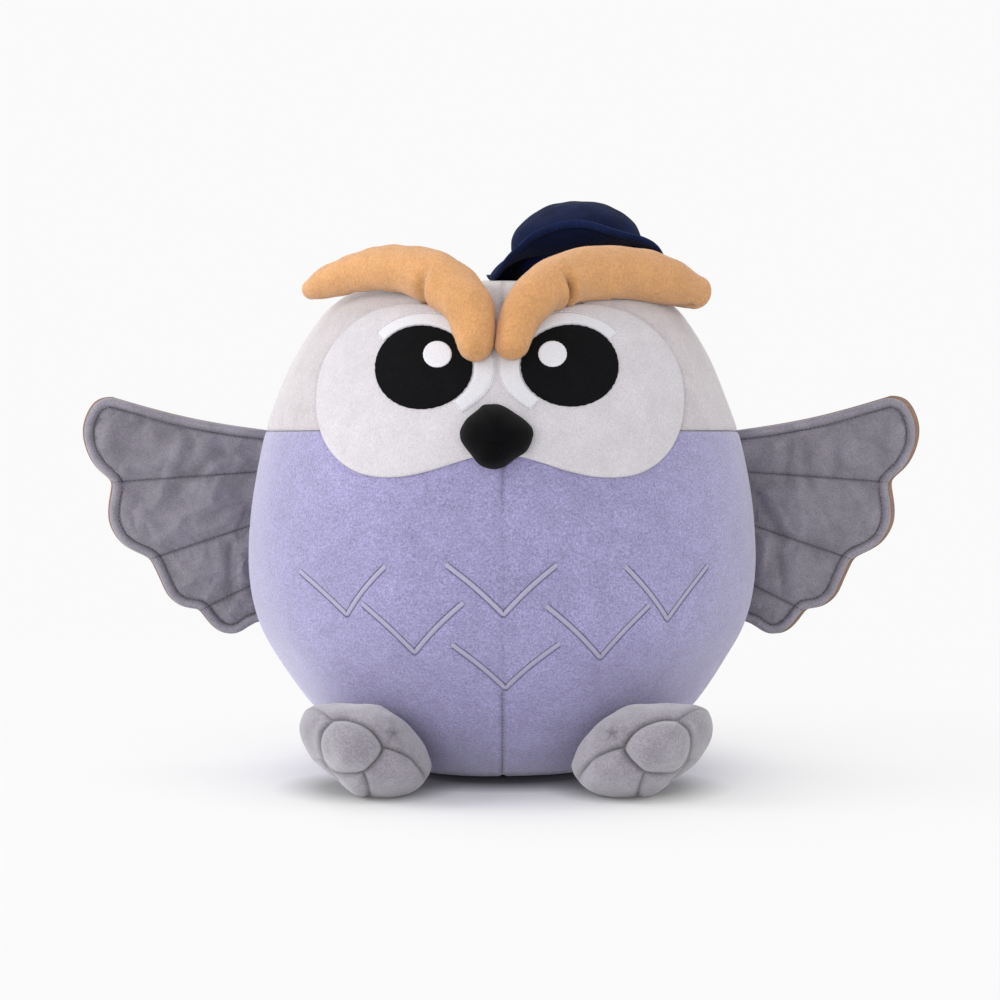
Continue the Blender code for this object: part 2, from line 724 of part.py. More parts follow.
def make_foot(side, sign, guides, clearance, parts):
    """A foot: its sole and upper over its filling, hinged where it is sewn to the belly."""
    hinge = foot_hinge()
    middle = Vector((sign * hinge.x, hinge.y + FOOT_TUCK - FOOT_LENGTH / 2, 0))
    seam_normal = Vector((0, sin(FOOT_SEAM_TILT), cos(FOOT_SEAM_TILT)))
    seam_point = middle + Vector((0, 0, FOOT_HEIGHT / 2))
    inner = make_cutter_from(foot_form("foot_hollow_" + side, sign, VELOUR, guides))
    filling = foot_form("foot_stuffing_" + side, sign, VELOUR + LAYER_GAP, parts)
    floor = half_space("floor_" + side, Vector((0, 0, 0)), Vector((0, 0, -1)), guides)
    raised = half_space("sole_" + side, Vector((0, 0, VELOUR + LAYER_GAP)),
                        Vector((0, 0, -1)), guides)
    cut_with(filling, raised)
    cut_with(filling, clearance)
    dress(filling, FILLING, 0.95)
    pieces = [filling]
    for name, facing in (("foot_upper_", 1), ("foot_sole_", -1)):
        shell = foot_form(name + side, sign, 0.0, parts)
        keep_from = seam_point + seam_normal * facing * SEAM_GAP / 2
        beyond = half_space(name + "cutter_" + side, keep_from, -seam_normal * facing, guides)
        for cutter in (floor, inner, clearance, beyond):
            cut_with(shell, cutter)
        dress(shell, FOOT_GREY, 0.9)
        pieces.append(shell)
    for piece in pieces:
        apply_modifiers(piece)
        place_origin(piece, (sign * hinge.x, hinge.y, hinge.z))


def make_cutter_from(item):
    """Marks an object as a cutter."""
    item.hide_render = True
    item.display_type = "WIRE"
    return item


def half_space(name, point, normal, guides):
    """A block that fills the side of a plane its normal points to."""
    size = 2 * (FOOT_WIDTH + FOOT_LENGTH + FOOT_HEIGHT + FOOT_SPREAD + CUT_OVERRUN)
    edit = bmesh.new()
    bmesh.ops.create_cube(edit, size=size)
    turn = normal.to_track_quat("Z", "Y").to_matrix().to_4x4()
    middle = point + normal * size / 2
    bmesh.ops.transform(edit, matrix=Matrix.Translation(middle) @ turn, verts=edit.verts)
    return make_cutter(edit, name, guides)


def hat_frame():
    """Where the hat stands on the head, with its tilt."""
    seat = Vector((HAT_PLACE, HAT_BACK, crown_height(HAT_PLACE, HAT_BACK)))
    return Matrix.Translation(seat) @ Matrix.Rotation(HAT_TILT, 4, "Y")


def hat_profile(inset):
    """The crown's turned profile, from its top to below the head's surface."""
    places = (along(HAT_PROFILE_SHARES, i / (HAT_RINGS - 1)) for i in range(HAT_RINGS))
    return [(p.x * (HAT_RADIUS - inset), p.y * (HAT_HEIGHT - inset)) for p in places]


def hat_form(inset):
    """The crown as a closed form, drawn in by an inset."""
    profile = hat_profile(inset)
    closed = [(0.0, profile[0][1])] + profile + [(0.0, profile[-1][1])]
    edit = turned_solid(closed, HAT_SEGMENTS)
    bmesh.ops.transform(edit, matrix=hat_frame(), verts=edit.verts)
    return edit


def brim_point(u, v, offset):
    """A point of the brim, turned up in front and hanging at the sides and the back."""
    turn = 2 * pi * u
    front = (1 + cos(turn)) / 2
    start, end = BRIM_TURN_SHARES
    turned = smooth_step((front - start) / (end - start))
    rise = BRIM_DROOP + (BRIM_TURN_UP - BRIM_DROOP) * turned
    curl = rise * (BRIM_CURL_SHARE + (1 - BRIM_CURL_SHARE) * v)
    reach = HAT_RADIUS + LAYER_GAP + BRIM_LENGTH * v * cos(curl)
    lift = BRIM_HEIGHT + BRIM_LENGTH * v * sin(curl)
    radial = Vector((sin(turn), -cos(turn), 0))
    normal = -radial * sin(curl) + Vector((0, 0, cos(curl)))
    if v == 0.0:
        normal = Vector((0, 0, 1))
    point = hat_frame() @ (radial * reach + Vector((0, 0, lift)) + normal * offset)
    floor = crown_height(point.x, point.y) + 2 * LAYER_GAP + VELOUR / 2
    clear = BRIM_THICKNESS / 2 + offset
    point.z = max(point.z, floor + clear)
    return point


def make_hat(guides, clearance, parts):
    """A soft hat: a filled crown sewn to the head, and a floppy brim round it."""
    crown = object_from(hat_form(0.0), "hat_crown", parts)
    hollow = make_cutter(hat_form(VELOUR), "hat_hollow", guides)
    filling = object_from(hat_form(VELOUR + LAYER_GAP), "hat_stuffing", parts)
    cut_with(crown, hollow)
    cut_with(crown, clearance)
    cut_with(filling, clearance)
    edit = thick_sheet(BRIM_COLUMN_COUNT, BRIM_ROW_COUNT, lambda u, v: brim_point(u, v, BRIM_THICKNESS / 2),
                       lambda u, v: brim_point(u, v, -BRIM_THICKNESS / 2), ring=True)
    brim = object_from(edit, "hat_brim", parts)
    dress(crown, NAVY, 0.9)
    dress(filling, FILLING, 0.95)
    dress(brim, NAVY, 0.9)


def make_chevrons(parts):
    """The V shapes sewn on the chest, in rows of three, two and one."""
    number = 0
    spacings = (CHEVRON_TOP_SPACING, CHEVRON_MIDDLE_SPACING, 0)
    for row, spacing in enumerate(spacings):
        count = len(spacings) - row
        height = CHEVRON_TOP_HEIGHT - row * CHEVRON_ROW_STEP
        for place in range(count):
            number += 1
            middle = CHEVRON_SHIFT + (place - (count - 1) / 2) * spacing

            def outline(u, v, middle=middle, height=height):
                from_tip = abs(2 * u - 1)
                bow = CHEVRON_BOW_SHARE * sin(pi * from_tip) * CHEVRON_DROP
                across = middle + (u - 0.5) * CHEVRON_WIDTH
                return across, height + from_tip * CHEVRON_DROP - bow + v * CHEVRON_STROKE

            applique(f"chest_chevron_{number}", CHEVRON_COLUMN_COUNT, 1, outline, 0,
                     CHEVRON_THREAD, THREAD_GREY, parts)


def main():
    """Builds the owl."""
    clear_scene()
    parts = new_collection("plush_owl")
    guides = new_collection("cutters")
    over_skin = make_cutter(body_form(BODY_RINGS, BODY_SEGMENTS, layer_lift(0)),
                            "over_skin", guides)
    over_face = make_cutter(body_form(FORM_RINGS, FORM_SEGMENTS, layer_lift(1)),
                            "over_face", guides)
    over_eyes = make_cutter(body_form(FORM_RINGS, FORM_SEGMENTS, layer_lift(2)),
                            "over_eyes", guides)
    make_filling(parts)
    make_skin(parts)
    make_face_disc(parts)
    make_beak(guides, over_face, parts)
    make_chevrons(parts)
    make_hat(guides, over_skin, parts)
    for side, sign in SIDES:
        make_eye(side, sign, parts)
        make_brow(side, sign, guides, over_eyes, parts)
        make_wing(side, sign, parts)
        make_foot(side, sign, guides, over_skin, parts)


main()
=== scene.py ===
"""Sews, stuffs and dresses a plush owl over its jointed frame.

The owl faces -Y, its own left is +X, and it sits on the floor at Z = 0. Everything is
in metres. Every piece of cloth is laid out from the same turned body form.
"""
from math import pi, radians, tan

import bpy
import numpy as np
from bpy.props import FloatProperty, FloatVectorProperty, PointerProperty
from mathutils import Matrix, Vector
from mathutils.bvhtree import BVHTree
from mathutils.kdtree import KDTree


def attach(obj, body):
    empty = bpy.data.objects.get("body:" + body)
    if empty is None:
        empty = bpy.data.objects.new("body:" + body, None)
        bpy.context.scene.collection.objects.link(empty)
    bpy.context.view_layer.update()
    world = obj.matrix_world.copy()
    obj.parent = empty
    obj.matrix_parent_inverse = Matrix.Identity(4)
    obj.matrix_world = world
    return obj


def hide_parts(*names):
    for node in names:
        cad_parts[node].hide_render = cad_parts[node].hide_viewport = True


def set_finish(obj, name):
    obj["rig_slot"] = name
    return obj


bl_info = {
    "name": "Plush Owl",
    "version": (1, 0, 0),
    "blender": (4, 5, 0),
    "location": "3D View > Sidebar > Plush Owl",
    "description": "Sews, stuffs and dresses a plush owl over its jointed frame",
    "category": "Add Mesh",
}

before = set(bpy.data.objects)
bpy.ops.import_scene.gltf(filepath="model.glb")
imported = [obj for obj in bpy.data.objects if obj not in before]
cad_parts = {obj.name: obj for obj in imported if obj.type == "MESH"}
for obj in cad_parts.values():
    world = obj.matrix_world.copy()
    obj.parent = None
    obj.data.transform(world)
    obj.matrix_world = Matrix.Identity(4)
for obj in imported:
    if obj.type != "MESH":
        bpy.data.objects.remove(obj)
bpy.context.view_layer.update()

SIDES = (("left", 1), ("right", -1))
SKIN = "body"

# The turned form: shares of half the width and of the height, from the base to the crown
BODY_PROFILE_SHARES = (
    (0.363, 0.0), (0.457, 0.010), (0.552, 0.033), (0.647, 0.070), (0.773, 0.138),
    (0.879, 0.221), (0.961, 0.303), (0.998, 0.401), (0.992, 0.529), (0.950, 0.653),
    (0.903, 0.736), (0.820, 0.839), (0.724, 0.921), (0.662, 0.955), (0.584, 0.979),
    (0.457, 0.994), (0.250, 1.0))
COLLAR_HEIGHT_SHARE = 0.694
COLLAR_TILT = radians(3.8)
BASE_SEAM_HEIGHT = 0.0025
SIDE_SEAM_BACK = 0.014
# Between which shares of the way up the skin has more rows, for the needlework there
BODY_DENSE = (42 / 190, 135 / 190)
HEAD_DENSE = (0.0, 7 / 11)
# How far the crown's middle stands over the form
CROWN_RISE = 0.0009
# The stretches of the belly seam where its thread shows, and how far they lie off the middle
LOW_SEAM = (0.004, 0.0495)
LOW_SEAM_ACROSS = -0.0002
TOP_SEAM = (0.1515, 0.1610)
TOP_SEAM_ACROSS = -0.0030

# Outlines on the body, in millimetres: distance round it from the middle, and height
FACE_LOWER = (
    (0, 163.2), (6, 162.9), (13, 161.6), (22, 158.9), (33, 155.4), (46, 152.6), (59, 152.0),
    (71, 153.8), (83, 159.2), (93, 167.6), (99.5, 178.2), (102.2, 190.2))
FACE_UPPER = (
    (0, 222.0), (14, 227.0), (32, 231.6), (46, 232.6), (59, 231.0), (72, 227.0),
    (84, 220.6), (94, 212.4), (100.5, 202.6), (102.2, 190.2))
FACE_SHIFT = -0.0018
FACE_COLUMNS = 420
EYES = {"right": (-38.9, 202.7, 25.0, 19.3), "left": (32.8, 203.6, 24.4, 18.9)}
GLINTS = {"right": (-30.6, 208.4, 7.1, 6.1), "left": (23.4, 208.7, 6.9, 6.0)}
RIBBON_WIDTH_SHARES = (0.66, 0.98, 0.94, 0.66, 0.52, 0.62)
RIBBON_FROM = radians(-51)
RIBBON_TO = radians(143)
BEAK_OUTLINE = (
    (-6.0, 11.7), (-2.4, 12.1), (1.2, 12.0), (5.4, 10.2), (9.1, 7.6), (13.0, 5.0), (16.3, 1.9),
    (17.4, -0.4), (17.3, -2.9), (15.6, -7.2), (13.4, -10.4), (9.1, -12.9), (6.2, -15.0),
    (3.3, -16.9), (-1.7, -17.9), (-7.5, -16.1), (-11.8, -11.1), (-15.7, -6.0), (-16.7, -2.6),
    (-16.4, 0.6), (-14.0, 4.8), (-11.2, 7.4), (-8.2, 9.8))
BEAK_PLACE = (-0.0030, 0.1745)
CHEVRONS = (
    ((-109.9, 105.0), (-78.8, 86.3), (-57.6, 110.0)),
    ((-25.9, 111.8), (0.5, 89.0), (24.9, 111.8)),
    ((60.3, 109.9), (84.5, 83.8), (111.6, 107.7)),
    ((-69.3, 92.0), (-42.1, 69.8), (-19.1, 93.9)),
    ((21.3, 92.3), (47.2, 67.0), (73.0, 91.0)),
    ((-23.1, 73.8), (1.3, 52.5), (26.6, 74.2)))
CHEVRON_BOW = 0.0009
# How deep the satin stitches and their edges lie in the pile
CHEVRON_SUNK = 0.00045
CHEVRON_EDGE_SUNK = 0.00008

# Brows in millimetres: places along the middle, and radius, from the beak outwards
BROWS = {
    "right": (
        (-12.6, -94.7, 214.9, 9.6), (-13.6, -91.3, 222.3, 11.2), (-17.2, -85.7, 233.0, 12.5),
        (-29.6, -70.6, 244.7, 13.1), (-49.4, -52.9, 249.3, 12.5), (-68.0, -37.9, 248.0, 11.0),
        (-84.8, -24.9, 242.7, 8.9), (-94.1, -17.9, 238.7, 5.9)),
    "left": (
        (4.6, -95.0, 214.6, 8.6), (6.8, -90.8, 223.3, 10.0), (12.4, -85.3, 233.5, 11.6),
        (24.0, -72.6, 242.8, 12.8), (42.6, -55.7, 246.6, 14.4), (65.1, -37.9, 246.4, 14.3),
        (81.8, -25.8, 242.2, 12.9), (95.2, -16.4, 237.4, 9.4))}
BROW_LENGTH = 105
# Folds in the brows: share along, depth and half width in millimetres
BROW_FOLDS = {"right": (0.335, 2.4, 2.6), "left": (0.315, 5.0, 1.6)}
BROW_STRANDS = 26000
# The sewn line under the left brow's outer end, as the camera sees it, in pixels, and how
# far the camera is from it
BROW_SEAM = ((613, 301), (640, 304), (668, 308), (692, 306))
BROW_SEAM_AWAY = 1.46

# Wings: outline in shares of span and height, from the top corner round to the low tip
WING_LENGTH = 0.0955
WING_HEIGHT = 0.121
WING_LOW = 0.063
WING_TOP_SAG = 0.0022
WING_ROUNDING = 24
# A place well inside the wing: distance out and height
WING_MIDDLE = (0.150, 0.120)
# The left wing is drawn in a little, towards a place this far out
WING_START = 0.118
WING_REACH = {"right": 1.0, "left": 0.972}
# How far the lining shows past the front's edge, in metres
LINING_SHOWS = {"right": 0.0008, "left": 0.0020}
WING_OUTLINE_SHARES = (
    ((0.840, 1.000), (0.930, 0.985), (0.992, 0.900), (0.995, 0.810), (0.940, 0.710),
     (0.842, 0.648)),
    ((0.842, 0.648), (0.868, 0.540), (0.858, 0.455), (0.785, 0.375), (0.650, 0.325)),
    ((0.650, 0.325), (0.600, 0.240), (0.555, 0.165), (0.480, 0.120), (0.392, 0.110)),
    ((0.392, 0.110), (0.330, 0.045), (0.265, 0.010), (0.190, 0.010), (0.115, 0.050)))
WING_ROOT_SHARES = (0.860, 0.690, 0.471, 0.227, 0.070)
# Soft folds of the wings, in millimetres: two ends out and up, height and half width
WING_FOLDS = {
    "right": ((162, 163, 172, 137, 0.9, 4.0), (157, 160, 168, 132, -0.8, 3.6),
              (142, 157, 164, 139, -1.1, 3.8), (146, 148, 160, 136, 0.8, 3.4),
              (126, 152, 134, 137, -1.3, 3.2), (128, 130, 132, 115, -1.5, 3.0),
              (138, 110, 138.5, 84, -1.2, 3.2), (131, 108, 132, 84, 1.0, 3.4)),
    "left": ((129, 137, 142, 114, -1.5, 3.4), (134, 134, 147, 114, 0.9, 3.6),
             (145, 160, 144, 142, -0.9, 3.4), (152, 162, 156, 140, -0.9, 3.2),
             (168, 158, 171, 138, -0.7, 4.0), (150, 138, 152, 108, 0.8, 3.6),
             (140, 106, 143, 86, -0.9, 3.2), (133, 112, 131, 90, 0.8, 3.2))}

# The wings' plush as cloth
CLOTH = {"quality": 6, "mass": 0.15, "tension_stiffness": 12.0, "compression_stiffness": 12.0,
         "shear_stiffness": 4.0, "bending_stiffness": 0.03, "use_pressure": True,
         "pin_stiffness": 1.0}
CLOTH_FRAMES = 20

# A foot in the front view, in millimetres: outwards from its middle, and up
FOOT_SPREAD = 0.0655
FOOT_MIDDLE_BACK = -0.0850
FOOT_FRONT = 0.0385
FOOT_REAR = 0.0300
FOOT_VIEW_RISE = 0.0012
FOOT_MIDDLE = (-0.5, 21.8)
FOOT_OUTLINE = (
    (31.2, 33.3), (30.3, 38.9), (28.1, 42.2), (22.5, 44.1), (11.6, 44.4), (-3.5, 44.1),
    (-10.1, 41.7), (-18.1, 36.6), (-26.1, 27.6), (-31.3, 16.7), (-31.5, 12.0), (-29.9, 7.8),
    (-25.2, 3.2), (-15.3, -0.4), (-4.4, -1.8), (3.6, -0.4), (11.8, 5.0), (19.8, 11.4),
    (26.2, 18.6), (30.0, 26.2))
FOOT_SEAMS = (
    ((29.6, 40.8), (24.4, 41.7), (19.6, 39.4), (15.4, 36.1)),
    ((15.4, 36.1), (9.7, 36.3), (4.5, 35.1), (-0.6, 32.8), (-4.9, 29.0), (-8.2, 23.3),
     (-6.8, 19.1), (-3.5, 15.3), (0.8, 11.6), (7.4, 10.6), (14.0, 11.1), (18.2, 14.9),
     (20.8, 20.0), (21.3, 26.2), (19.6, 31.8), (15.4, 36.1)),
    ((-8.2, 23.3), (-13.4, 21.9), (-20.9, 18.2), (-25.6, 13.4), (-29.4, 7.8)),
    ((0.8, 11.6), (-0.2, 8.7), (-1.1, 5.9), (-2.1, 0.7)),
    ((20.1, 17.2), (16.8, 11.6), (13.0, 7.3)))
OUTER_TOE = (
    (31.9, 34.2), (29.1, 40.8), (24.4, 41.7), (19.6, 39.4), (15.4, 36.1), (19.6, 31.8),
    (21.3, 26.2), (20.8, 20.0), (18.2, 14.9), (14.0, 11.1), (16.8, 11.6), (20.1, 17.2),
    (26.2, 17.2), (31.0, 24.8))
FOOT_TACK = (-12.9, 29.5)
# The left foot is stuffed a little broader and sits further out, in metres
FOOT_FITS = {"right": (1.0, 0.0), "left": (1.075, 0.0015)}

HAT_PLACE = (0.0400, 0.0200)
HAT_TILT = radians(-7)
HAT_PROFILE_SHARES = (
    (0.08, 1.0), (0.37, 0.974), (0.57, 0.907), (0.75, 0.81), (0.885, 0.71), (0.955, 0.61),
    (0.99, 0.50), (1.0, 0.30), (1.0, -0.20))
RIM_HEIGHT = 0.0170
# How steeply the rim rises at turns round the hat, both in degrees; its front is turned up
RIM_RISES = (
    (-180, -34), (-130, -40), (-90, -48), (-65, -33), (-50, -14), (-37.5, 8), (-33, 18), (-26, 38),
    (-10, 54), (6, 46), (17, 29), (34, 7), (49, -15), (60, -42), (88, -68), (130, -48), (180, -34))
RIM_CURL_SHARE = 0.35

# The camera of the photograph
CAMERA_PLACE = (0.0, -1.5, 0.26)
CAMERA_DOWN = 0.0844
CAMERA_LENS = 108
CAMERA_SENSOR = 36
CAMERA_SHIFT = -0.0025
PICTURE_WIDTH = 1000
# The lamps: place, watts. They are discs, and they aim at a place inside the body
LAMPS = {"key": ((-1.9, -0.3, 1.0), 20.0), "fill": ((1.6, -0.4, 0.8), 5.0),
         "low front": ((-0.6, -1.85, 0.30), 10.0), "top": ((-0.3, 0.6, 1.9), 6.0)}
LAMP_SIZE = 1.2
LAMPS_AIM = (0, 0, 0.12)
# Round pools of shade on the floor: middle, inner and outer radius, and level at the middle
POOLS = (((0, 0, 0), 0.056, 0.086, 0.18), ((0.0655, -0.070, 0), 0.020, 0.046, 0.45),
         ((-0.0655, -0.070, 0), 0.020, 0.046, 0.45))

# Fine gaps and thicknesses
LAID_ON = 0.00005
CUT_EDGE = 0.0001
PRESS_REACH = 0.001
STITCH_RUN = 0.0004


def linear(text, alpha=None):
    """The linear values of an sRGB hex colour."""
    values = [int(text[i:i + 2], 16) / 255 for i in (1, 3, 5)]
    values = [v / 12.92 if v <= 0.04045 else ((v + 0.055) / 1.055) ** 2.4 for v in values]
    return tuple(values) if alpha is None else (*values, alpha)


def colour_property(name, description, text):
    """A colour that the panel shows."""
    return FloatVectorProperty(name=name, description=description, subtype="COLOR", size=3,
                               min=0.0, max=1.0, default=linear(text))


def length_property(name, description, default):
    """A length that the panel shows."""
    return FloatProperty(name=name, description=description, default=default, min=0.0,
                         unit="LENGTH", precision=4)


class OwlSizes(bpy.types.PropertyGroup):
    """Sizes of the owl and of its needlework."""
    body_width: length_property("Body width", "Width of the stuffed body", 0.2536)
    body_depth: length_property("Body depth", "Depth of the stuffed body", 0.2282)
    body_height: length_property("Body height", "Height of the body and head", 0.2420)
    lump: length_property("Lumps", "How far the filling pushes the skin about", 0.0005)
    seam_depth: length_property("Seam depth", "How deep the skin pulls in at a seam", 0.0008)
    seam_width: length_property("Seam width", "Half the width of that hollow", 0.0013)
    patch: length_property("Patch thickness", "How proud the face patch lies", 0.0011)
    felt: length_property("Felt thickness", "Thickness of the eyes' felt", 0.0009)
    ribbon_width: length_property("Ribbon width", "Widest part of the eye ribbons", 0.0102)
    beak_reach: length_property("Beak reach", "How far the beak stands out", 0.0190)
    chevron_width: length_property("Chest stitch width", "Width of a satin stitched line", 0.0026)
    wing_roll: length_property("Wing edge", "Width of the wings' rolled edge", 0.0048)
    wing_puff: length_property("Wing puff", "Height of the wings' quilting", 0.0034)
    hat_radius: length_property("Hat radius", "Radius of the hat's dome", 0.0338)
    hat_height: length_property("Hat height", "Height of the hat's dome", 0.0420)
    rim_length: length_property("Hat rim", "Width of the hat's rim", 0.0190)
    pile_length: length_property("Brow pile", "Length of the brows' pile", 0.0017)
    stitch_pitch: length_property("Stitch pitch", "Distance from stitch to stitch", 0.0021)
    thread: length_property("Thread", "Half the thickness of the thread", 0.00022)


class OwlColours(bpy.types.PropertyGroup):
    """Colours of the owl's fabrics and threads."""
    lilac: colour_property("Body", "Brushed velour of the body", "#9590b8")
    warm_grey: colour_property("Head", "Brushed velour of the head", "#bdb6ba")
    pale_grey: colour_property("Face", "Short plush of the face patch", "#cdc9ce")
    eye_black: colour_property("Eyes", "Felt of the eyes", "#111113")
    beak_black: colour_property("Beak", "Velour of the beak", "#08080a")
    satin_white: colour_property("Satin", "Satin of the highlights and eye ribbons", "#dddce2")
    orange: colour_property("Brows", "Long plush of the brows", "#d49d68")
    wing_grey: colour_property("Wings", "Quilted plush of the wings", "#827e88")
    lining: colour_property("Wing backs", "Twill of the wings' backs", "#8c7163")
    foot_grey: colour_property("Feet", "Velour of the feet", "#959099")
    navy: colour_property("Hat", "Felted cotton of the hat", "#111b3b")
    chest_thread: colour_property("Chest thread", "Satin stitches of the chest", "#a6a2bc")
    dark_thread: colour_property("Seam thread", "Thread that shows in the seams", "#47434f")


def sizes():
    return bpy.context.scene.owl_sizes


def colours():
    return bpy.context.scene.owl_colours


# Places and forms

def along(points, share):
    """Points at shares of the smooth line that runs through the given points."""
    points = np.asarray(points, float)
    spans = len(points) - 1
    place = np.clip(np.asarray(share, float), 0.0, 1.0) * spans
    index = np.minimum(place.astype(int), spans - 1)
    part = (place - index)[..., None]
    before = points[np.maximum(index - 1, 0)]
    start = points[index]
    end = points[index + 1]
    after = points[np.minimum(index + 2, spans)]
    square = (2 * before - 5 * start + 4 * end - after) * part ** 2
    cube = (3 * start - before - 3 * end + after) * part ** 3
    return 0.5 * (2 * start + (end - before) * part + square + cube)


def closed_line(points, count):
    """Evenly spaced points of the smooth closed line through the given points."""
    points = np.asarray(points, float)
    ring = np.vstack([points[-1:], points, points[:2]])
    dense = along(ring, np.linspace(1 / (len(ring) - 1), (len(ring) - 2) / (len(ring) - 1), 3000))
    return evenly(dense, count + 1)[:-1]


def lengths_along(line):
    """Distance along a line up to each of its points."""
    return np.concatenate([[0.0], np.cumsum(np.linalg.norm(np.diff(line, axis=0), axis=1))])


def read_at(places, marks, table):
    """Each column of a table, read at places between its marks."""
    return np.stack([np.interp(places, marks, column) for column in table.T], -1)


def evenly(line, count):
    """Points at even distances along a line."""
    marks = lengths_along(line)
    return read_at(np.linspace(0.0, marks[-1], count), marks, line)


def thinned(line, shares=200, count=160):
    """Evenly spaced points of the smooth open line through the given points."""
    return evenly(along(line, np.linspace(0, 1, shares)), count)


def reach_round(outline, turn):
    """Distance from the middle out to a closed outline, in each direction."""
    angles = np.arctan2(outline[:, 1], outline[:, 0])
    order = np.argsort(angles)
    return np.interp(turn, angles[order], np.hypot(*outline.T)[order], period=2 * pi)


def gathered(places, density, shares):
    """Places at shares of the way, closer together where the density is higher."""
    total = np.concatenate([[0.0], np.cumsum(density[1:])])
    return np.interp(shares * total[-1], total, places)


def domed(base, rise, edge):
    """The height over a patch by the distance from its edge: flat, and rounded down near it."""
    return lambda near: base + rise * np.sqrt(1 - (1 - np.clip(near / edge, 0, 1)) ** 2)


def smooth_step(share):
    """Eases from 0 to 1."""
    share = np.clip(share, 0.0, 1.0)
    return share * share * (3 - 2 * share)


def unit(vectors):
    """Vectors of length one."""
    return vectors / np.maximum(np.linalg.norm(vectors, axis=-1, keepdims=True), 1e-12)


def to_line(points, line, closed=False, reach=1.0):
    """Distance of each point of a plane to a line in it, if it is within reach."""
    line = np.vstack([line, line[:1]]) if closed else np.asarray(line, float)
    close = evenly(line, max(int(lengths_along(line)[-1] / 0.00008), 2))
    tree = KDTree(len(close))
    for index, (x, y) in enumerate(close.tolist()):
        tree.insert((x, y, 0.0), index)
    tree.balance()
    near = np.full(len(points), reach)
    low, high = line.min(axis=0) - reach, line.max(axis=0) + reach
    inside = np.nonzero(np.all((points > low) & (points < high), axis=1))[0]
    near[inside] = [tree.find((x, y, 0.0))[2] for x, y in points[inside].tolist()]
    return near


def within(points, line):
    """Which points of a plane lie inside a closed line."""
    inside = np.zeros(len(points), bool)
    for (ax, ay), (bx, by) in zip(line, np.roll(line, -1, axis=0)):
        crosses = (ay > points[:, 1]) != (by > points[:, 1])
        level = (bx - ax) * (points[:, 1] - ay) / (by - ay if by != ay else 1e-12) + ax
        inside ^= crosses & (points[:, 0] < level)
    return inside


def ripple(points, wave, seed):
    """A soft unevenness between -1 and 1 with bumps of about the given size."""
    source = np.random.default_rng(seed)
    total = np.zeros(len(points))
    for _ in range(9):
        direction = unit(source.normal(size=3)) / (wave * source.uniform(0.7, 1.5))
        total += np.sin(2 * pi * (points @ direction) + source.uniform(0, 2 * pi))
    return total / 4.5


class BodyForm:
    """The turned form that the skin is cut for."""

    def __init__(self):
        self.half = sizes().body_width / 2
        self.ratio = sizes().body_depth / sizes().body_width
        self.height = sizes().body_height
        line = along(BODY_PROFILE_SHARES, np.linspace(0, 1, 600)) * (self.half, self.height)
        self.radii, self.heights = line.T
        self.lengths = lengths_along(line)

    def radius(self, height):
        return np.interp(height, self.heights, self.radii)

    def over(self, turn, height, lift):
        """Points over the skin, at a turn round the body and a height."""
        turn, height, lift = np.broadcast_arrays(turn, height, lift)
        radius = self.radius(height)
        slope = (self.radius(height + 0.001) - self.radius(height - 0.001)) / 0.002
        base = np.stack([radius * np.sin(turn), -radius * self.ratio * np.cos(turn), height], -1)
        out = unit(np.stack([np.sin(turn), -np.cos(turn) / self.ratio, -slope], -1))
        lumps = ripple(base.reshape(-1, 3), 0.052, 3).reshape(radius.shape) * sizes().lump
        return base + out * (lift + lumps)[..., None], out

    def on(self, across, height, lift):
        """Points over the front, by the distance round from the middle and the height."""
        return self.over(across / self.radius(height), height, lift)

    def side(self, height, back):
        """Half the body's width at a height, at a distance behind the middle."""
        radius = self.radius(height)
        return radius * np.sqrt(1 - (back / (radius * self.ratio)) ** 2)

    def crown(self, x, y):
        """Height of the top of the head over a point."""
        widest = int(np.argmax(self.radii))
        reach = np.hypot(x, y / self.ratio)
        return np.interp(reach, self.radii[widest:][::-1], self.heights[widest:][::-1])

    def collar(self, turn):
        """Height of the tilted collar seam at a turn round the body."""
        start = COLLAR_HEIGHT_SHARE * self.height
        height = np.full_like(turn, start)
        for _ in range(8):
            height = start + tan(COLLAR_TILT) * self.radius(height) * self.ratio * np.cos(turn)
        return height


def face_line():
    """The face patch's outline, as distances round the body and heights in metres."""
    right = np.array(FACE_LOWER[:-1] + FACE_UPPER[::-1]) / 1000
    left = right[::-1][1:-1] * (-1, 1)
    return closed_line(np.vstack([right, left]), FACE_COLUMNS) + (FACE_SHIFT, 0)


def chevron_line(points, count=60):
    """The middle of a chest stitch, slightly bowed, in metres."""
    left, tip, right = (np.array(p) / 1000 for p in points)
    arms = []
    for a, b in ((left, tip), (tip, right)):
        share = np.linspace(0, 1, count // 2)[:, None]
        step = b - a
        away = np.array([-step[1], step[0]]) / np.hypot(*step)
        arms.append(a + step * share + away * np.sin(pi * share) * CHEVRON_BOW)
    return np.vstack([arms[0], arms[1][1:]])


# Modelling

def deselect_all():
    bpy.ops.object.select_all(action="DESELECT")


def named(name):
    """Names the object that an operator just made."""
    piece = bpy.context.object
    piece.name = name
    piece.data.name = name
    return piece


def points_of(piece):
    found = np.empty(len(piece.data.vertices) * 3)
    piece.data.vertices.foreach_get("co", found)
    return found.reshape(-1, 3)


def put_points(piece, points):
    piece.data.vertices.foreach_set("co", np.asarray(points, float).ravel())
    piece.data.update()


def select_only(piece):
    """Selects one piece, for the next operator to work on."""
    deselect_all()
    piece.select_set(True)
    bpy.context.view_layer.objects.active = piece


def edit_all(operator, **settings):
    """Runs an operator on every point of the active piece."""
    bpy.ops.object.mode_set(mode="EDIT")
    bpy.ops.mesh.select_all(action="SELECT")
    operator(**settings)
    bpy.ops.object.mode_set(mode="OBJECT")


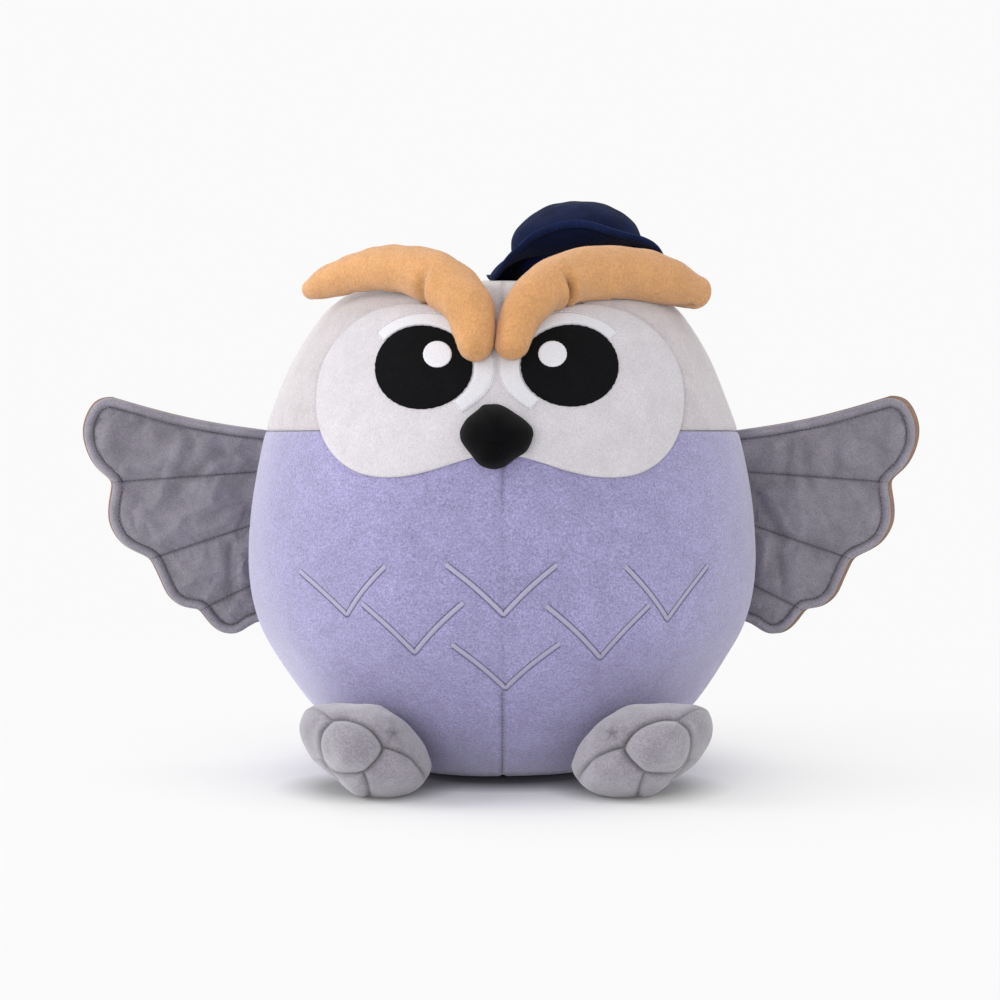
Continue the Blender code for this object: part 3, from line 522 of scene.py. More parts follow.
def start_grid(name, columns, rows):
    """A flat grid to shape."""
    deselect_all()
    bpy.ops.mesh.primitive_grid_add(x_subdivisions=columns, y_subdivisions=rows, size=1)
    return named(name)


def start_ball(name, columns, rows):
    """A ball to shape: the piece, and each point's column and row, counted up from below."""
    piece = start_grid(name, columns, rows)
    turn, polar = ((points_of(piece)[:, :2] + 0.5) * (2 * pi, pi)).T
    put_points(piece, np.stack([np.cos(turn) * np.sin(polar), np.sin(turn) * np.sin(polar),
                                -np.cos(polar)], 1))
    edit_all(bpy.ops.mesh.remove_doubles, threshold=0.00001)
    x, y, z = points_of(piece).T
    row = rows - np.rint(np.arccos(np.clip(z, -1, 1)) / pi * rows).astype(int)
    column = np.rint(np.arctan2(y, x) / (2 * pi) * columns).astype(int) % columns
    return piece, column, row


def start_pad(name, columns, rows):
    """Two grids joined round their border: the piece, each point's shares, and its side."""
    piece = start_grid(name, columns, rows)
    edit_all(bpy.ops.mesh.extrude_region_move, TRANSFORM_OT_translate={"value": (0, 0, 1)})
    start = points_of(piece)
    return piece, start[:, :2] + 0.5, start[:, 2] > 0.5


def triangles_of(piece):
    """The first, second and third corners of a piece's triangles."""
    mesh = piece.data
    mesh.calc_loop_triangles()
    corners = np.empty(len(mesh.loop_triangles) * 3, int)
    mesh.loop_triangles.foreach_get("vertices", corners)
    place = points_of(piece)
    return [place[numbers] for numbers in corners.reshape(-1, 3).T]


def face_outwards(piece):
    """Turns every face of a closed piece outwards."""
    a, b, c = triangles_of(piece)
    if np.einsum("ij,ij->", a, np.cross(b, c)) < 0:
        select_only(piece)
        edit_all(bpy.ops.mesh.flip_normals)


def complete(piece, material, body, slot, replaced=()):
    """Turns a shaped piece outwards, dresses it and lets it ride on its body."""
    face_outwards(piece)
    piece.data.shade_smooth()
    piece.data.materials.clear()
    piece.data.materials.append(material)
    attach(piece, body)
    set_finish(piece, slot)
    if replaced:
        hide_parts(*replaced)
    return piece


def note_painted_light_and_tone(piece, values):
    """Notes painted light, above 0, and painted shade, below 0, on the pile of a piece; strand
    copies also carry their own random tone in it.
    """
    layer = piece.data.attributes.new("painted_light_and_tone", "FLOAT", "POINT")
    layer.data.foreach_set("value", np.clip(values, -1, 1).astype(np.float32))


def settle_cloth(piece, held, pressure, growth, reach):
    """Lets the wadding blow a closed piece up as cloth held at its seams; the result stays."""
    start = points_of(piece)
    group = piece.vertex_groups.new(name="held")
    for index, weight in enumerate(held):
        if weight > 0.02:
            group.add([index], float(weight), "REPLACE")
    modifier = piece.modifiers.new("wadding", "CLOTH")
    cloth = modifier.settings
    for name, value in CLOTH.items():
        setattr(cloth, name, value)
    cloth.uniform_pressure_force = pressure
    cloth.shrink_min = cloth.shrink_max = -growth
    cloth.effector_weights.gravity = 0.0
    cloth.vertex_group_mass = group.name
    modifier.collision_settings.use_collision = False
    modifier.point_cache.frame_start = 1
    modifier.point_cache.frame_end = CLOTH_FRAMES
    for number in range(1, CLOTH_FRAMES + 1):
        bpy.context.scene.frame_set(number)
    select_only(piece)
    bpy.ops.object.modifier_apply(modifier=modifier.name)
    piece.vertex_groups.clear()
    move = points_of(piece) - start
    far = np.linalg.norm(move, axis=1, keepdims=True)
    put_points(piece, start + move * np.minimum(1.0, reach / np.maximum(far, 1e-9)))
    bpy.context.scene.frame_set(1)


def surface_of(piece):
    """A piece's surface, to find the nearest place on it."""
    bpy.context.view_layer.update()
    return BVHTree.FromObject(piece, bpy.context.evaluated_depsgraph_get())


def nearest_on(name, points, reach):
    """For each point near a piece: its number, the piece's nearest place, the normal there,
    and how far the point lies outside."""
    piece = bpy.data.objects[name]
    surface = surface_of(piece)
    own = points_of(piece)
    low, high = own.min(axis=0) - reach, own.max(axis=0) + reach
    for index in np.nonzero(np.all((points > low) & (points < high), axis=1))[0]:
        point = Vector(points[index])
        place, normal, _, _ = surface.find_nearest(point)
        yield index, place, normal, (point - place).dot(normal)


def press_off(points, names, gap):
    """Moves points that lie in some pieces out to a gap over them."""
    moved = np.array(points, float)
    for name in names:
        for index, place, normal, outside in nearest_on(name, moved, gap + PRESS_REACH):
            if outside < gap:
                moved[index] = place + normal * gap
    return moved


def found_cloth(found):
    """The places and normals that rays found on a piece; a seam needs several."""
    if len(found) < 4:
        raise RuntimeError("a seam found no cloth to lie on")
    return (np.array([pair[k] for pair in found]) for k in (0, 1))


def clear_of(points, names, gap):
    """Which points lie outside some pieces, further than a gap from them."""
    clear = np.ones(len(points), bool)
    for name in names:
        for index, _, _, outside in nearest_on(name, points, gap):
            clear[index] &= outside > gap
    return clear


def tube_points(line, radius, up, columns, column, row, rows, flat, ends=None):
    """Points of a tube along a line, and their shares along; its ends close over a length."""
    marks = lengths_along(line)
    length = marks[-1]
    ends = ends or (radius[0], radius[-1])
    even = row / rows
    share = 0.45 * even + 0.55 * (1 - np.cos(pi * even)) / 2
    place = share * (length + ends[0] + ends[1]) - ends[0]
    tangent = unit(read_at(place, marks, unit(np.gradient(line, axis=0))))
    beyond = np.minimum(place, 0) + np.maximum(place - length, 0)
    centre = read_at(place, marks, line) + tangent * beyond[:, None]
    size = np.interp(place, marks, radius)
    closing = np.where(place < 0, 1 - (place / ends[0]) ** 2, 1.0)
    closing = np.where(place > length, 1 - ((place - length) / ends[1]) ** 2, closing)
    size = size * np.sqrt(np.clip(closing, 0, 1))
    rise = read_at(place, marks, up)
    rise = unit(rise - tangent * np.einsum("ij,ij->i", rise, tangent)[:, None])
    sideways = np.cross(tangent, rise)
    turn = 2 * pi * column / columns
    offset = rise * (np.cos(turn) * flat)[:, None] + sideways * np.sin(turn)[:, None]
    return centre + offset * size[:, None], place / length


def take_pattern():
    """The points and faces of the pattern that an operator just made; the pattern goes."""
    pattern = bpy.context.object
    shape = points_of(pattern)
    faces = [list(face.vertices) for face in pattern.data.polygons]
    bpy.data.objects.remove(pattern)
    return shape, faces


def spread(shape, centre, *axes):
    """A shape at many places, each with its own three axes."""
    return centre[:, None] + sum(axis[:, None] * shape[None, :, k:k + 1]
                                 for k, axis in enumerate(axes))


def lay_stitches(name, line, normals, body, slot, material, length=None, closed=False, size=None):
    """A row of stitches: one is modelled, and its copies lie along a line."""
    pitch = sizes().stitch_pitch
    thick = size or sizes().thread
    long = length or pitch * 0.62
    deselect_all()
    bpy.ops.mesh.primitive_uv_sphere_add(segments=6, ring_count=4, radius=1.0)
    shape, faces = take_pattern()
    if closed:
        line, normals = (np.vstack([ring, ring[:1]]) for ring in (line, normals))
    marks = lengths_along(line)
    count = max(int(marks[-1] / pitch), 1)
    places = (np.arange(count) + 0.5) * marks[-1] / count
    ahead, behind = (read_at(places + step, marks, line) for step in (STITCH_RUN, -STITCH_RUN))
    run = unit(ahead - behind)
    rise = unit(read_at(places, marks, normals))
    side = unit(np.cross(rise, run))
    block = spread(shape, read_at(places, marks, line), rise * thick, side * thick, run * long / 2)
    return copies(name, block, faces, body, slot, material)


def copies(name, block, faces, body, slot, material, tones=None):
    """One mesh of many placed copies of a modelled pattern, each with its own tone."""
    count, each = block.shape[:2]
    mesh = bpy.data.meshes.new(name)
    every = [[v + copy * each for v in face] for copy in range(count) for face in faces]
    mesh.from_pydata(block.reshape(-1, 3).tolist(), [], every)
    piece = bpy.data.objects.new(name, mesh)
    bpy.context.scene.collection.objects.link(piece)
    note_painted_light_and_tone(piece, np.repeat(np.zeros(count) if tones is None else tones, each))
    return complete(piece, material, body, slot)


# Fabrics

def add_node(tree, kind, inputs=None, **settings):
    """Adds a node with its settings; each input takes a value or another node's output."""
    node = tree.nodes.new("ShaderNode" + kind)
    for name, value in settings.items():
        setattr(node, name, value)
    for name, value in (inputs or {}).items():
        if isinstance(value, bpy.types.NodeSocket):
            tree.links.new(value, node.inputs[name])
        else:
            node.inputs[name].default_value = value
    return node


def new_fabric(name):
    """An empty material: its tree, its Principled shader and the object's coordinates."""
    material = bpy.data.materials.new(name)
    material.use_nodes = True
    tree = material.node_tree
    shader = tree.nodes["Principled BSDF"]
    place = add_node(tree, "TexCoord").outputs["Object"]
    return material, tree, shader, place


def shade(colour, factor):
    """A lighter or darker version of a colour."""
    return (*[min(max(channel * factor, 0.0), 1.0) for channel in colour], 1.0)


def noise(tree, place, scale, detail, rough=0.5, distortion=0.0):
    """Uneven values over a fabric."""
    node = add_node(tree, "TexNoise", {"Vector": place, "Scale": scale, "Detail": detail,
                                       "Roughness": rough, "Distortion": distortion})
    return node.outputs["Fac"]


def ramp(tree, value, low, high):
    """The colours of values: each stop has a value and its colour."""
    node = add_node(tree, "ValToRGB", {"Fac": value})
    for stop, (position, colour) in zip(node.color_ramp.elements, (low, high)):
        stop.position = position
        stop.color = colour
    return node.outputs["Color"]


def greys(edge, change):
    """Stops that darken the low values and lighten the high ones."""
    return (edge, (*[1 - change] * 3, 1)), (1 - edge, (*[1 + change] * 3, 1))


def finish_fabric(tree, shader, colour, height, strength, relief, rough, gloss):
    """Gives a fabric its colour, its fine relief and its gloss."""
    bump = add_node(tree, "Bump", {"Height": height, "Strength": strength, "Distance": relief})
    tree.links.new(colour, shader.inputs["Base Color"])
    tree.links.new(bump.outputs["Normal"], shader.inputs["Normal"])
    shader.inputs["Roughness"].default_value = rough
    shader.inputs["Specular IOR Level"].default_value = gloss


def brushed_pile(name, colour, contrast, brushing, grain=0.00110, patch=0.011, sheen=1.0,
                 relief=0.00045, rough=0.9, rows=0.0, gloss=0.12):
    """A short cut pile: fine light and dark grain, soft patches where hands brushed it,
    and a pale sheen at grazing angles. Rows are the knitted ground showing through."""
    material, tree, shader, place = new_fabric(name)
    fine = noise(tree, place, 1 / grain, 3.0, 0.65, 0.3)
    soft = noise(tree, place, 1 / patch, 3.0, 0.55, 0.6)
    broad = noise(tree, place, 1 / 0.045, 1.0)
    grained = ramp(tree, fine, (0.30, shade(colour, 1 - contrast)),
                   (0.70, shade(colour, 1 + contrast)))
    patches = ramp(tree, soft, *greys(0.32, brushing))
    fields = ramp(tree, broad, *greys(0.35, brushing * 0.5))
    mixed = multiply(tree, multiply(tree, grained, patches), fields)
    if rows:
        laid = add_node(tree, "Mapping", {"Vector": place,
                                          "Scale": (1 / rows, 1 / rows, 4 / rows)})
        knit = noise(tree, laid.outputs["Vector"], 0.35, 2.0, 0.7)
        mixed = multiply(tree, mixed, ramp(tree, knit, *greys(0.35, 0.05)))
    # Painted light and shade noted on each piece: paler on ridges, hems and upper sides, darker in
    # seams, folds and recesses; strands add their own random tone
    painted_light_and_tone = add_node(tree, "Attribute", attribute_name="painted_light_and_tone")
    painted_light_and_tone_factor = add_node(tree, "MapRange", {"Value": painted_light_and_tone.outputs["Fac"], "From Min": -1.0,
                                       "To Min": 0.45, "To Max": 1.55})
    mixed = multiply(tree, mixed, painted_light_and_tone_factor.outputs["Result"])
    blend = add_node(tree, "Math", {0: soft, 1: 0.6}, operation="MULTIPLY")
    height = add_node(tree, "Math", {0: fine, 1: blend.outputs[0]}, operation="ADD")
    finish_fabric(tree, shader, mixed, height.outputs[0], 0.9, relief, rough, gloss)
    shader.inputs["Sheen Weight"].default_value = sheen
    shader.inputs["Sheen Roughness"].default_value = 0.5
    shader.inputs["Sheen Tint"].default_value = (*[0.75 + 0.25 * part for part in colour], 1)
    return material


def multiply(tree, first, second):
    """The product of two colours."""
    node = tree.nodes.new("ShaderNodeMix")
    node.data_type = "RGBA"
    node.blend_type = "MULTIPLY"
    node.inputs["Factor"].default_value = 1.0
    tree.links.new(first, node.inputs[6])
    tree.links.new(second, node.inputs[7])
    return node.outputs[2]


def satin(name, colour):
    """White satin: fine parallel threads that catch a soft broken gloss."""
    material, tree, shader, place = new_fabric(name)
    turned = add_node(tree, "Mapping", {"Vector": place, "Scale": (2200.0, 2200.0, 480.0),
                                        "Rotation": (0.0, 0.5, 0.0)})
    threads = noise(tree, turned.outputs["Vector"], 1.0, 2.0, 0.6)
    tones = ramp(tree, threads, (0.3, shade(colour, 0.90)), (0.7, shade(colour, 1.06)))
    finish_fabric(tree, shader, tones, threads, 0.5, 0.00015, 0.48, 0.35)
    return material


def sewing_thread(name, colour):
    """Twisted polyester thread: fine bands across each stitch."""
    material, tree, shader, place = new_fabric(name)
    twist = noise(tree, place, 2600.0, 1.0)
    tones = ramp(tree, twist, (0.3, shade(colour, 0.75)), (0.7, shade(colour, 1.2)))
    finish_fabric(tree, shader, tones, twist, 0.5, 0.0001, 0.6, 0.25)
    return material


def thread_material(kind):
    """The thread of the seams, made once for each kind."""
    found = bpy.data.materials.get("sewing thread " + kind)
    if found:
        return found
    text = {"dark": colours().dark_thread, "navy": shade(colours().navy, 1.9)[:3],
            "white": shade(colours().satin_white, 1.08)[:3],
            "violet": shade(colours().lilac, 0.42)[:3],
            "umber": shade(colours().orange, 0.45)[:3],
            "grey": shade(colours().pale_grey, 0.72)[:3]}[kind]
    return sewing_thread("sewing thread " + kind, text)


# The pieces

def skin_rows(dense_from, dense_to, count):
    """Shares of the way up the skin, closer together between two of them."""
    places = np.linspace(0, 1, 800)
    density = 1 + 1.1 * ((places > dense_from) & (places < dense_to))
    return gathered(places, density, np.linspace(0, 1, count))


def skin_turns(columns):
    """Turns round the body, closer together over its front."""
    turns = np.linspace(-pi, pi, 4001)
    density = 1 + 1.2 * np.exp(-(turns / 1.15) ** 6)
    return gathered(turns, density, np.arange(columns) / columns)


def seam_hollows(form, turn, height, points, lines):
    """How far the skin pulls in at its own seams and along some stitched lines."""
    depth, width = sizes().seam_depth, sizes().seam_width
    radius = form.radius(height)
    across = radius * turn
    low = smooth_step((0.056 - height) / 0.008)
    beak = smooth_step((height - 0.138) / 0.010)
    front = np.exp(-(across / width) ** 2) * np.maximum(0.35 + 0.65 * low, beak)
    back = np.exp(-((pi - np.abs(turn)) * radius / width) ** 2)
    side = np.exp(-((points[:, 1] - SIDE_SEAM_BACK) / width) ** 2)
    hollow = np.maximum(np.maximum(front * (np.abs(turn) < 1), back), side) * depth
    flat = np.stack([across, height], 1)
    for line in lines:
        near = to_line(flat, line, reach=0.004)
        hollow = np.maximum(hollow, np.exp(-(near / 0.0013) ** 4) * 0.0006)
    return hollow


def make_skin(name, form, columns, rows, upper):
    """The body below the collar seam, or the head above it, as one closed stuffed form."""
    cap, roll = 7, 5
    gap, bend, soft_edge = 0.00015, 0.0011, 0.0016
    depth = sizes().seam_depth
    piece, column, row = start_ball(name, columns, rows)
    turn = skin_turns(columns)[column]
    side_rows = rows - 2 * cap - roll
    spaced = skin_rows(*(HEAD_DENSE if upper else BODY_DENSE), side_rows + 1)
    seam = np.interp(form.collar(turn), form.heights, form.lengths)
    start, end = (seam + gap + bend, form.lengths[-1]) if upper else (0.0, seam - gap - bend)
    level = row - cap - (roll if upper else 0)
    place = start + (end - start) * spaced[np.clip(level, 0, side_rows)]
    # At the collar seam the skin rolls in
    past = -level if upper else level - side_rows
    angle = np.clip(past / roll, 0, 1) * pi / 2
    away = gap + bend * (1 - np.sin(angle))
    place = np.where(past > 0, seam + (away if upper else -away), place)
    sunk = bend * (1 - np.cos(angle))
    height = np.interp(place, form.lengths, form.heights)
    points, out = form.over(turn, height, 0.0)
    lines = [] if upper else [chevron_line(p) for p in CHEVRONS]
    hollow = seam_hollows(form, turn, height, points, lines)
    # Painted shade in the seam hollows and along the chest stitches
    note_painted_light_and_tone(piece, -0.55 * hollow / depth)
    near = to_line(np.stack([form.radius(height) * turn, height], 1), face_line(), closed=True,
                   reach=0.006)
    edges = [np.exp(-(near / soft_edge) ** 2) * 0.6,
             np.exp(-((place - seam) / soft_edge) ** 2) * 0.6]
    if not upper:
        edges.append(np.exp(-((height - BASE_SEAM_HEIGHT) / 0.0012) ** 2))
    hollow = np.maximum(hollow, np.max(edges, axis=0) * depth)
    pucker = 1 + 0.25 * np.sin(turn * form.radius(height) / 0.0031 * pi)
    points = points - out * (hollow * pucker + sunk)[:, None]
    collar_end, far_end = (0, rows) if upper else (rows, 0)
    for pole, middle, dome in ((collar_end, COLLAR_HEIGHT_SHARE * form.height, False),
                               (far_end, form.height + CROWN_RISE if upper else 0.0, upper)):
        points = close_cap(points, column, row, rows - cap if pole else cap, pole,
                           (0, 0, middle), dome)
    if not upper:
        points[:, 2] = np.maximum(points[:, 2], 0.0)
    put_points(piece, points)
    return piece


def close_cap(points, column, row, edge, pole, centre, dome):
    """Draws the rows between an edge and a pole in to the middle."""
    ring = {c: points[i] for i, (c, r) in enumerate(zip(column, row)) if r == edge}
    low, high = min(edge, pole), max(edge, pole)
    for i in np.nonzero((row >= low) & (row <= high) & (row != edge))[0]:
        if row[i] == pole:
            points[i] = centre
            continue
        share = abs(row[i] - edge) / abs(pole - edge)
        start = ring[column[i]]
        points[i] = start + (np.array(centre) - start) * share
        if dome:
            points[i][2] = start[2] + (centre[2] - start[2]) * (1 - (1 - share) ** 2)
    return points


def lay_patch(name, form, line, centre, top_rows, profile, under):
    """A patch on the body: rings from its middle to its outline, and back underneath."""
    low_rows = 3
    rows = top_rows + low_rows
    piece, column, row = start_ball(name, len(line), rows)
    from_top = rows - row
    share = np.where(from_top <= top_rows, from_top / top_rows,
                     1 - (from_top - top_rows) / low_rows)
    even = 1 - (1 - share) ** 1.25
    place = np.array(centre) + (line[column] - centre) * even[:, None]
    near = to_line(place, line, closed=True)
    near[share >= 1] = 0
    lift = np.where(from_top <= top_rows, profile(near), under)
    put_points(piece, form.on(*place.T, lift)[0])
    return piece


class OWL_OT_body(bpy.types.Operator):
    """Stuffs the lilac body, from its base to the collar seam"""
    bl_idname = "owl.body"
    bl_label = "Body"

    def execute(self, context):
        form = BodyForm()
        piece = make_skin("owl_body", form, 480, 176, upper=False)
        # Polyester velour, knitted and sheared: grainy, brushed lighter and darker by hand
        cloth = brushed_pile("lilac brushed velour", colours().lilac, grain=0.0009,
                             contrast=0.36, brushing=0.07, rows=0.0016)
        nodes = ["body_stuffing", "base_panel"]
        nodes += [f"{part}_panel_{side}" for part in ("belly", "back") for side, _ in SIDES]
        complete(piece, cloth, SKIN, "belly_panel_left", nodes)
        top = float(form.collar(np.array([pi]))[0]) - 0.002
        seams = {
            "body_seam_thread": form.on(LOW_SEAM_ACROSS, np.linspace(*LOW_SEAM, 60), -0.0006),
            "body_top_seam_thread": form.on(TOP_SEAM_ACROSS, np.linspace(*TOP_SEAM, 20), -0.0003),
            "body_back_seam_thread": form.over(pi, np.linspace(0.006, top, 160), -0.0007)}
        for name, seam in seams.items():
            lay_stitches(name, *seam, SKIN, "belly_panel_left", thread_material("violet"))
        return {"FINISHED"}


class OWL_OT_head(bpy.types.Operator):
    """Stuffs the grey head, from the collar seam to the crown"""
    bl_idname = "owl.head"
    bl_label = "Head"

    def execute(self, context):
        form = BodyForm()
        piece = make_skin("owl_head", form, 420, 108, upper=True)
        # The same velour in warm grey
        cloth = brushed_pile("warm grey brushed velour", colours().warm_grey, contrast=0.17,
                             brushing=0.07)
        nodes = [f"head_{part}_panel_{side}" for part in ("front", "back") for side, _ in SIDES]
        complete(piece, cloth, SKIN, "head_front_panel_left", nodes)
        low = float(form.collar(np.array([pi]))[0]) + 0.002
        seam = form.over(pi, np.linspace(low, form.height - 0.004, 120), -0.0007)
        lay_stitches("head_back_seam_thread", *seam, SKIN, "head_front_panel_left",
                     thread_material("grey"))
        return {"FINISHED"}


class OWL_OT_face(bpy.types.Operator):
    """Sews the face patch, the eyes, their highlights and their ribbons on"""
    bl_idname = "owl.face"
    bl_label = "Face"

    def execute(self, context):
        form = BodyForm()
        line = face_line()
        piece = lay_patch("face_patch", form, line, (FACE_SHIFT, 0.193), 64,
                          domed(LAID_ON, sizes().patch, 0.0026), -0.0001)
        # Short speckled plush, paler than the head
        cloth = brushed_pile("pale grey short plush", colours().pale_grey, grain=0.0009,
                             contrast=0.12, brushing=0.04, sheen=0.25)
        complete(piece, cloth, SKIN, "face_disc", ["face_disc"])
        lay_stitches("face_patch_thread", *form.on(*line.T, LAID_ON), SKIN, "face_disc",
                     thread_material("grey"), closed=True)
        # Wool-like felt, pressed: near black with a faint grey nap
        felt = brushed_pile("black felt", colours().eye_black, grain=0.0007, contrast=0.35,
                            brushing=0.1, sheen=0.02, relief=0.0003, rough=0.95, gloss=0.06)
        gloss = satin("white satin", colours().satin_white)
        # The same satin, thinner: the grey plush shows through a little
        ribbon = satin("thin white satin ribbon", shade(colours().satin_white, 0.96)[:3])
        base = sizes().patch + LAID_ON
        top = base + CUT_EDGE + sizes().felt
        turn = np.linspace(0, 2 * pi, 240, endpoint=False)
        felt_cut = (1 + 0.0035 * np.sin(turn * 61 + np.sin(turn * 17) * 2)
                    + 0.003 * np.sin(turn * 37))
        glint_cut = 1 + 0.008 * np.sin(turn * 23)
        for side, sign in SIDES:
            self.sew_oval(form, "eye_felt_" + side, "eye_" + side, EYES[side], felt_cut, 26,
                          domed(base + CUT_EDGE, sizes().felt, 0.0011), base + LAID_ON, felt,
                          "face_patch")
            self.sew_oval(form, "eye_glint_" + side, "eye_highlight_" + side, GLINTS[side],
                          glint_cut, 14, domed(top + LAID_ON, 0.0005, 0.0009), top + 0.00002,
                          gloss, "eye_felt_" + side)
            self.make_ribbon(form, side, sign, ribbon, base)
        return {"FINISHED"}

    def sew_oval(self, form, name, slot, oval, cut, rows, profile, under, cloth, lies_on):
        """A felt eye or its satin highlight: an oval with a slightly uneven cut edge."""
        across, height, wide, tall = (v / 1000 for v in oval)
        turn = np.linspace(0, 2 * pi, len(cut), endpoint=False)
        line = np.stack([across + wide * np.cos(turn) * cut,
                         height + tall * np.sin(turn) * cut], 1)
        piece = lay_patch(name, form, line, (across, height), rows, profile, under)
        complete(piece, cloth, SKIN, slot, [slot])

    def make_ribbon(self, form, side, sign, ribbon, base):
        """The white satin band round the inner side of an eye, with a stitched edge."""
        across, height, wide, tall = (v / 1000 for v in EYES[side])
        count = 140
        share = np.linspace(0, 1, count)
        turn = RIBBON_FROM + (RIBBON_TO - RIBBON_FROM) * share
        width = along([(s, 0) for s in RIBBON_WIDTH_SHARES], share)[:, 0] * sizes().ribbon_width
        inner = 0.0003
        near, far = (np.stack([across - sign * np.cos(turn) * (wide + out),
                               height + np.sin(turn) * (tall + out)], 1)
                     for out in (inner, width))
        piece, place, over = start_pad("eye_ribbon_" + side, count - 1, 10)
        run, over_band = place.T
        a, b = (read_at(run * (count - 1), np.arange(count), line) for line in (near, far))
        flat = a + (b - a) * over_band[:, None]
        from_edge = np.minimum(
            np.minimum(over_band, 1 - over_band) * np.linalg.norm(b - a, axis=1),
            np.minimum(run, 1 - run) * 0.085)
        lift = np.where(over, domed(base + CUT_EDGE, 0.00045, 0.0007)(from_edge), base + 0.00003)
        put_points(piece, form.on(*flat.T, lift)[0])
        complete(piece, ribbon, SKIN, "eye_arc_" + side, ["eye_arc_" + side])
        area = float(np.sum(np.diff(lengths_along((near + far) / 2)) * (width[1:] - inner)))
        float(lengths_along(far)[-1])
        border = evenly(np.vstack([near[:1], far, near[-1:]]), 300)
        lay_stitches("eye_ribbon_thread_" + side, *form.on(*border.T, base + 0.0004), SKIN,
                     "eye_arc_" + side, thread_material("white"), length=0.0021, size=0.00026)


class OWL_OT_beak(bpy.types.Operator):
    """Stuffs the black beak and sets it on the face"""
    bl_idname = "owl.beak"
    bl_label = "Beak"

    def execute(self, context):
        form = BodyForm()
        columns, rows = 120, 72
        piece, column, row = start_ball("beak_plush", columns, rows)
        polar = row / rows * pi
        turn = column / columns * 2 * pi - pi
        reach = reach_round(closed_line(np.array(BEAK_OUTLINE) / 1000, 720), turn)
        reach = reach * np.sin(polar) ** 0.92
        face = -np.cos(polar)
        x, z = np.cos(turn) * reach, np.sin(turn) * reach
        depth = np.where(face > 0, np.abs(face) ** 0.9 * sizes().beak_reach * 0.98, face * 0.004)
        crest = 0.0012 * np.exp(-(x / 0.005) ** 2) * (z > -0.004)
        lean = -z * 0.20
        seat = form.on(*np.array(BEAK_PLACE)[:, None], 0.0)[0][0]
        points = seat + np.stack([x, -depth - crest * (face > 0) - lean, z], 1)
        points += unit(points - seat) * (ripple(points, 0.012, 8) * 0.0002)[:, None]
        points = press_off(points, ("owl_body", "owl_head", "face_patch"), 0.0001)
        put_points(piece, points)
        # Fine black velour: matt, with a grey bloom where light grazes the pile
        cloth = brushed_pile("black velour", colours().beak_black, grain=0.0006, contrast=0.35,
                             brushing=0.15, sheen=0.05, relief=0.0003, rough=0.95, gloss=0.06)
        complete(piece, cloth, SKIN, "beak_cover", ["beak_cover", "beak_stuffing"])
        return {"FINISHED"}


